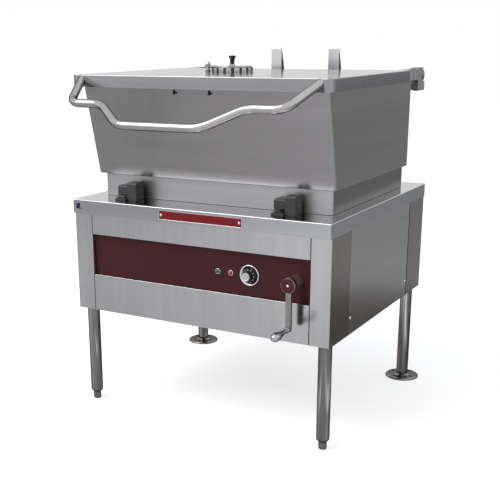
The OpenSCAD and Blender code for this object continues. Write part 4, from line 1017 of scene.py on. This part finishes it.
# The flute walls take the painted shade metal.
slots(ring, vent_steel, painted_shade_metal)
give_finish(ring, 1, in_flute)
hand_over(ring, None, "lid", ["vent_ring"])
post_x = middle_and_half("vent_post")[0].x
nut = ring_h + 3.7
acorn = turned("vent_acorn_post", mm(
    0, 0.1, 10, 0.1, 10, 2, 7.8, 3.5, 7.2, ring_h - 4, 9.5, ring_h - 2.2, 10, ring_h - 0.5, 9.5, ring_h,
    6, ring_h, 6, nut, 8.8, nut, 9, nut + 4.2, 8.8, nut + 6.2, 7.8, nut + 8.8, 6, nut + 11.2, 3.2, nut + 12.9,
    0, nut + 13.4), (post_x, vent.y, lid_high.z), "z", 48)
hand_over(acorn, vent_steel, "lid", ["vent_post"], 40)
knob_low, knob_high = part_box("vent_knob")
knob = turned("vent_knob_turned", mm(
    0, 0, 7.2, 0, 7.4, 4, 7.2, 9, 7.8, 14, 9.3, 18, 11.2, 21.5, 11.9, 23.5, 11.7, 25.2, 10.4, 26.4, 6, 26.9,
    0, 1000 * (knob_high.z - knob_low.z)), (vent.x, vent.y, knob_low.z), "z", 48)
hand_over(knob, black_phenolic, "vent_lid", ["vent_knob"], 60)

# %% Vent cover
cover_low, cover_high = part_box("vent_cover")
cover_t, cover_r, arm_half = 0.003, 0.0645, 0.010
top, rim_r = 1000 * (cover_high.z - cover_low.z) - 0.1, 1000 * cover_r
plate = turned("cover_plate", mm(
    0, 0, rim_r - 0.5, 0, rim_r, 0.6, rim_r, 1.8, rim_r - 0.8, 2.8, rim_r - 2, 3, 11, 3, 9.2, 3.6, 9, 4.5,
    9, top - 0.7, 8.2, top, 0, top), (vent.x, vent.y, cover_low.z), "z", 96)
cover = block("vent_cover_plate", (post_x, vent.y - arm_half, cover_low.z),
              (vent.x - cover_r + 0.012, vent.y + arm_half, cover_low.z + cover_t))
arm_end = round_bar("cover_arm_end", (post_x, vent.y, cover_low.z + cover_t / 2), "z", arm_half, cover_t, 48)
weld(cover, arm_end, plate)
cut_with(cover, round_bar("post_bore", (post_x, vent.y, cover_low.z), "z", 0.00615, 0.02, 48))
hand_over(cover, vent_steel, "vent_lid", ["vent_cover"], 30)

# %% [markdown]
# ## Lid hinge
# At both rear corners an arm reaches back from the lid to a knuckle that turns on a long shaft. Brackets on
# the pan carry the shaft: a black bar and a block below the knuckle. A dark slot marks the arm's side.

# %% Hinge arms
hinge_y, hinge_z = 0.51285, 1.083
arms_low, arms_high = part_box("hinge_arms")
arm_w, arm_step, knuckle_r = 0.030, 0.048, 0.019
hinge_out, hinge_in = arms_high.x, arms_high.x - arm_w
step_y = hinge_y - arm_step
lid_arm = block("hinge_arm_right", (hinge_in, lid_high.y, lid_low.z), (hinge_out, step_y, lid_high.z))
weld(lid_arm, block("hinge_arm_back", (hinge_in, step_y, arms_low.z), (hinge_out, hinge_y, arms_high.z)),
     round_bar("hinge_knuckle", (hinge_out - arm_w / 2, hinge_y, hinge_z), "x", knuckle_r, arm_w, 64))
cut_with(lid_arm, block("slot_cutter", (hinge_out - 0.004, pan_high.y + 0.029, lid_high.z - 0.033),
                        (hinge_out + 0.001, pan_high.y + 0.033, lid_high.z - 0.001)),
         round_bar("shaft_bore", (hinge_out, hinge_y, hinge_z), "x", 0.0101, 0.1, 48))
round_edges(lid_arm, 0.0009, 2, 50)
hand_over_both(lid_arm, "hinge_arm_left", block_metal, "lid", ["hinge_arms"], 25)

# %% Hinge brackets and shaft
bar_z1, bar_h, block_h, cheek_w, ear_w = pan_high.z - 0.0155, 0.014, 0.031, 0.016, 0.012
block_z1 = hinge_z - knuckle_r - 0.0005
ear_x = hinge_in - 0.002 - ear_w
dark_bar = block("hinge_bar_right", (ear_x, pan_high.y, bar_z1 - bar_h), (hinge_out, step_y, bar_z1))
round_edges(dark_bar, 0.0008, 2)
low_block = block("hinge_block_right", (ear_x, hinge_y - 0.017, block_z1 - block_h),
                  (hinge_out, hinge_y + 0.023, block_z1))
weld(low_block, block("hinge_cheek", (hinge_out - cheek_w, step_y, block_z1 - block_h),
                      (hinge_out, hinge_y - 0.016, block_z1)))
round_edges(low_block, 0.0012, 2)
ear = round_bar("hinge_ear", (ear_x + ear_w / 2, hinge_y, hinge_z), "x", 0.017, ear_w, 48)
weld(ear, block("hinge_ear_neck", (ear_x, hinge_y - 0.017, block_z1 - 0.001),
                (ear_x + ear_w, hinge_y + 0.017, hinge_z)))
cut_with(ear, round_bar("ear_bore", (ear_x, hinge_y, hinge_z), "x", 0.010, 0.1, 48))
low_block = join("hinge_block_right", low_block, ear)
hand_over_both(dark_bar, "hinge_bar_left", black_paint, "pan", ["hinge_brackets"])
hand_over_both(low_block, "hinge_block_left", block_metal, "pan", [], 25)
shaft_l = 1000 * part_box("hinge_shaft")[1].x
shaft = turned("hinge_shaft_turned", mm(
    0, -shaft_l, 10.5, -shaft_l, 12.5, 0.6 - shaft_l, 13, 2 - shaft_l, 10, 2 - shaft_l, 10, shaft_l - 2,
    13, shaft_l - 2, 12.5, shaft_l - 0.6, 10.5, shaft_l, 0, shaft_l), (0, hinge_y, hinge_z), "x", 48)
slots(shaft, hinge_bronze, leg_steel)
give_finish(shaft, 1, lambda face: abs(face.calc_center_median().x) < 0.1)
hand_over(shaft, None, "pan", ["hinge_shaft"])

# %% [markdown]
# ## Lamps, dial and knob
# Two lamps with plated bezels sit left of the thermostat. Its dished plate is bright, its skirted knob is
# black with pale marks round the skirt, and a turned cap closes the middle. The panel itself stays bare.

# %% Lamps
dial, dial_half = middle_and_half("dial_plate")
lamps = (("green", green_lens, 0.076), ("red", red_lens, 0.121))
for colour, lens_finish, x in lamps:
    lens_cap = turned(f"lamp_lens_{colour}", mm(
        0, -33, 8.8, -33, 8.8, -2.5, 4.8, -2.2, 4.8, 0.1, 6.2, 0.6, 6.2, 3.2, 5.7, 5.6, 4.6, 7.5, 2.7, 8.9,
        0, 9.4), (x, panel_y, dial.z), "-y", 32)
    hand_over(lens_cap, lens_finish, "base", [f"lamp_{colour}"], 50)
bezels = [turned("lamp_bezel", mm(
    6.4, 0.1, 9, 0.1, 9, 1.6, 8.4, 2.7, 7.3, 3, 6.7, 2.6, 6.4, 1.4, 6.4, 0.1), (x, panel_y, dial.z), "-y", 48)
    for colour, lens_finish, x in lamps]
hand_over(join("lamp_bezel_rings", *bezels), chrome, "base", ["lamp_bezels"], 60)

# %% Dial and knob
knob_middle = (dial.x, panel_y, dial.z)
rim_r = 1000 * dial_half.x
dish = turned("dial_dish", mm(
    4.5, 0.1, rim_r - 0.6, 0.1, rim_r, 0.8, rim_r - 0.6, 2.6, rim_r - 1.8, 4.2, rim_r - 3, 4.6,
    rim_r - 4.4, 4.2, rim_r - 8, 2.2, rim_r - 11.5, 1.2, 4.5, 1, 4.5, 0.1), knob_middle, "-y", 96)
hand_over(dish, chrome, "base", ["dial_plate"], 60)
knob_body = turned("thermostat_knob_turned", mm(
    0, -18, 3, -18, 3, 1.6, 19, 1.8, 19.4, 6, 22.2, 7.2, 22.8, 8, 22.8, 10.4, 22.2, 11.2, 17.6, 13, 16.8, 14,
    16, 22, 15.4, 23.8, 14.4, 24.5, 0, 24.5), knob_middle, "-y", 96)
flute_count = 20
for index in range(flute_count):
    spot = around((dial.x, panel_y - 0.021, dial.z), 0.0174, 360 * index / flute_count, level=False)
    cut_with(knob_body, round_bar("flute", spot, "-y", 0.0016, 0.012, 12))
hand_over(knob_body, black_phenolic, "thermostat_dial", ["thermostat_knob"], 30)
marks = []
mark_half = Vector((0.0011, 0.0007, 0.0011))
for index in range(11):
    spot = around((dial.x, panel_y - 0.0118, dial.z), 0.0204, 240 - 30 * index, level=False)
    marks.append(round_edges(block("dial_mark", spot - mark_half, spot + mark_half), 0.0003, 1))
hand_over(join("dial_marks", *marks), pale_mark, "thermostat_dial", [])
cap = turned("knob_cap_turned", mm(
    0, -4, 13, -4, 13.4, -3.6, 13.4, -1, 12.8, -0.2, 11.6, 0, 10.8, -0.4, 10.2, -0.6, 0, -0.4),
    (dial.x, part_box("thermostat_cap")[0].y, dial.z), "-y", 96)
hand_over(cap, brushed_cap, "thermostat_dial", ["thermostat_cap"], 30)

# %% [markdown]
# ## Crank
# The crank turns the worm behind the panel. A sleeve comes out of the panel, a flat arm hangs from its hub,
# and a plated grip turns on the arm's stud. The hub's face carries a burgundy disc with a bright rim. The
# arm's back, sides, hub and stud carry painted shade: a much darker metal than the arm's front.

# %% Sleeve and arm
crank = middle_and_half("crank_disc")[0]
arm_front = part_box("crank_disc")[1].y
arm_t, hub_h, arm_half = 0.008, 0.006, 0.0088
arm_back, arm_middle = arm_front + arm_t, arm_front + arm_t / 2
grip_low, grip_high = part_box("crank_grip")
grip_z = (grip_low.z + grip_high.z) / 2
sleeve_l = 1000 * (panel_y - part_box("crank_bearing")[0].y)
sleeve = turned("crank_sleeve", mm(
    9.05, -14, 15, -14, 15, 0.1, 20.5, 0.1, 21, 0.8, 21, sleeve_l - 21, 20.5, sleeve_l - 20.2,
    20.5, sleeve_l - 19.2, 21, sleeve_l - 18.4, 21, sleeve_l - 1, 20.3, sleeve_l, 9.05, sleeve_l, 9.05, -14),
    (crank.x, panel_y, crank.z), "-y")
hand_over(sleeve, sleeve_steel, "base", ["crank_bearing"], 40)

flat = block("crank_arm_flat", (crank.x - arm_half, arm_front, grip_z),
             (crank.x + arm_half, arm_back, crank.z))
hub = turned("crank_hub", mm(9, 0, 22, 0, 22, 5.5, 21.5, 6, 9, 6, 9, 0),
             (crank.x, arm_back + hub_h, crank.z), "-y")
weld(flat, *[round_bar("crank_arm_end", (crank.x, arm_middle, z), "-y", arm_half, arm_t, 64)
             for z in (grip_z, crank.z)])
round_edges(flat, 0.0012, 3, 40)
grip_l = 1000 * (grip_high.y - grip_low.y)
stud_l = grip_l - 4.2
stud = turned("crank_stud", mm(0, -1, 5, -1, 5, stud_l - 0.8, 4.5, stud_l, 0, stud_l),
              (crank.x, arm_front, grip_z), "-y", 32)
arm_bar = join("crank_arm_bar", flat, hub, stud)
# Every face but the arm's front takes the painted shade metal.
slots(arm_bar, arm_metal, painted_shade_metal)
give_finish(arm_bar, 1, lambda face: face.normal.y > -0.9)
hand_over(arm_bar, None, "crank", ["crank_arm"], 30)

# %% Disc, screw and grip
disc_seat = (crank.x, arm_front, crank.z)
rim = turned("crank_disc_rim", mm(
    19, 0.1, 22.4, 0.1, 23, 0.8, 23, 5.2, 22.4, 6, 21.9, 6, 21.6, 5.4, 19, 0.1), disc_seat, "-y")
hand_over(rim, rim_chrome, "crank", ["crank_disc"], 50)
disc_face = turned("crank_disc_face", mm(
    0, 0.1, 20, 0.2, 21.6, 5.1, 20.6, 5.5, 12.5, 5.5, 11.8, 5, 11, 5.5, 0, 5.5), disc_seat, "-y")
hand_over(disc_face, disc_enamel, "crank", [], 50)
screw = turned("crank_screw_head", mm(0, 0, 4, 0, 4.2, 0.4, 4, 1.4, 3, 2.4, 1.6, 2.9, 0, 3),
               (crank.x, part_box("crank_screw")[1].y, crank.z), "-y", 32)
hand_over(screw, chrome, "crank", ["crank_screw"], 60)
swell = []
for radius, share in ((6.7, 0.144), (6.4, 0.221), (6.6, 0.309), (7.4, 0.398), (9, 0.497), (11, 0.597),
                      (12.7, 0.685), (13.5, 0.762), (13.3, 0.823), (12.4, 0.884), (10.6, 0.939), (8, 0.975),
                      (4.5, 0.994), (0, 1)):
    swell += [radius, share * grip_l]
grip = turned("crank_grip_turned", mm(
    5.05, 0, 7.8, 0, 8.4, 0.8, 8.5, 3, 8, 4.5, 8.4, 6, 8.5, 8.6, 7.8, 10.5, *swell,
    0, grip_l - 3, 5.05, grip_l - 3, 5.05, 0), (crank.x, grip_high.y, grip_z), "-y")
hand_over(grip, grip_chrome, "grip", ["crank_grip"], 60)

# %% [markdown]
# ## Nameplate, small plate and screws
# The photographed machine has a red plate in the middle of the apron and a small blue one at the corner.
# Both stay bare here: an enamel field inside a thin bright rim, made by insetting the plate's front face.

# %% Plates
def enamel_plate(name, node, enamel, corner, rim_w):
    plate = block(name, *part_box(node))
    bend_edges(plate, running(Y), corner, 5)
    slots(plate, chrome, enamel)
    pick(plate, "FACE", facing(Y, -1))
    bpy.ops.mesh.inset(thickness=rim_w)
    bpy.ops.mesh.inset(thickness=0.0003, depth=-0.0003)
    plate.active_material_index = 1
    bpy.ops.object.material_slot_assign()
    leave_all()
    hand_over(plate, None, "base", [node], 30)


enamel_plate("nameplate_bare", "nameplate", red_enamel, 0.004, 0.0016)
enamel_plate("corner_plate_bare", "corner_tag", navy_enamel, 0.001, 0.0012)

# %% Panel screws
def screw_head(name, place, axis):
    return turned(name, mm(0, 0, 4.4, 0, 4.5, 0.3, 4.2, 1.3, 3, 2.1, 1.4, 2.45, 0, 2.5), place, axis, 24)


screws = []
side_inset, side_screw_z, plate_inset = 0.160, 0.3914, 0.009
for y in (side_low.y + side_inset, side_high.y - side_inset):
    right_screw = screw_head("side_screw", (side_high.x - press, y, side_screw_z), "x")
    screws += [right_screw, mirrored(right_screw, "side_screw_left")]
plate_low, plate_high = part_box("nameplate")
for x in (plate_low.x + plate_inset, plate_high.x - plate_inset):
    screws.append(screw_head("plate_screw", (x, plate_low.y, (plate_low.z + plate_high.z) / 2), "-y"))
hand_over(join("panel_screw_heads", *screws), chrome, "base", ["panel_screws"], 60)

# %% [markdown]
# ## Finishes for the pieces that keep their construction shape
# Flat sheets inside the cabinet, the gears and the heaters already have the right shape. They only need the
# finish of the real part, so each node's material slots are filled from a short list.

# %% Finishes of the kept nodes
kept = (
    (burgundy_film, "control_panel"), (sheet_upright, "back_panel corner_posts"), (hub_metal, "pivot_pins"),
    (sheet_across, "bottom_panel heater_cover cross_rail"), (wheel_bronze, "worm_wheel"),
    (grey_casting, "leg_sockets thermostat_body gear_frame heater_blocks"), (ivory_plastic, "terminal_block"),
    (black_phenolic, "contactor cable_gland"), (leg_steel, "crank_shaft cross_shaft pinion sector_gear"))
finished = set()
for finish, names in kept:
    for name in names.split():
        finished.add(name)
        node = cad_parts[name]
        if not node.material_slots:
            node.data.materials.append(finish)
        for slot in node.material_slots:
            slot.material = finish
shown = {name for name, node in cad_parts.items() if not node.hide_render}
print("nodes shown as they are:", sorted(shown))
print("without a finish:", sorted(shown - finished))
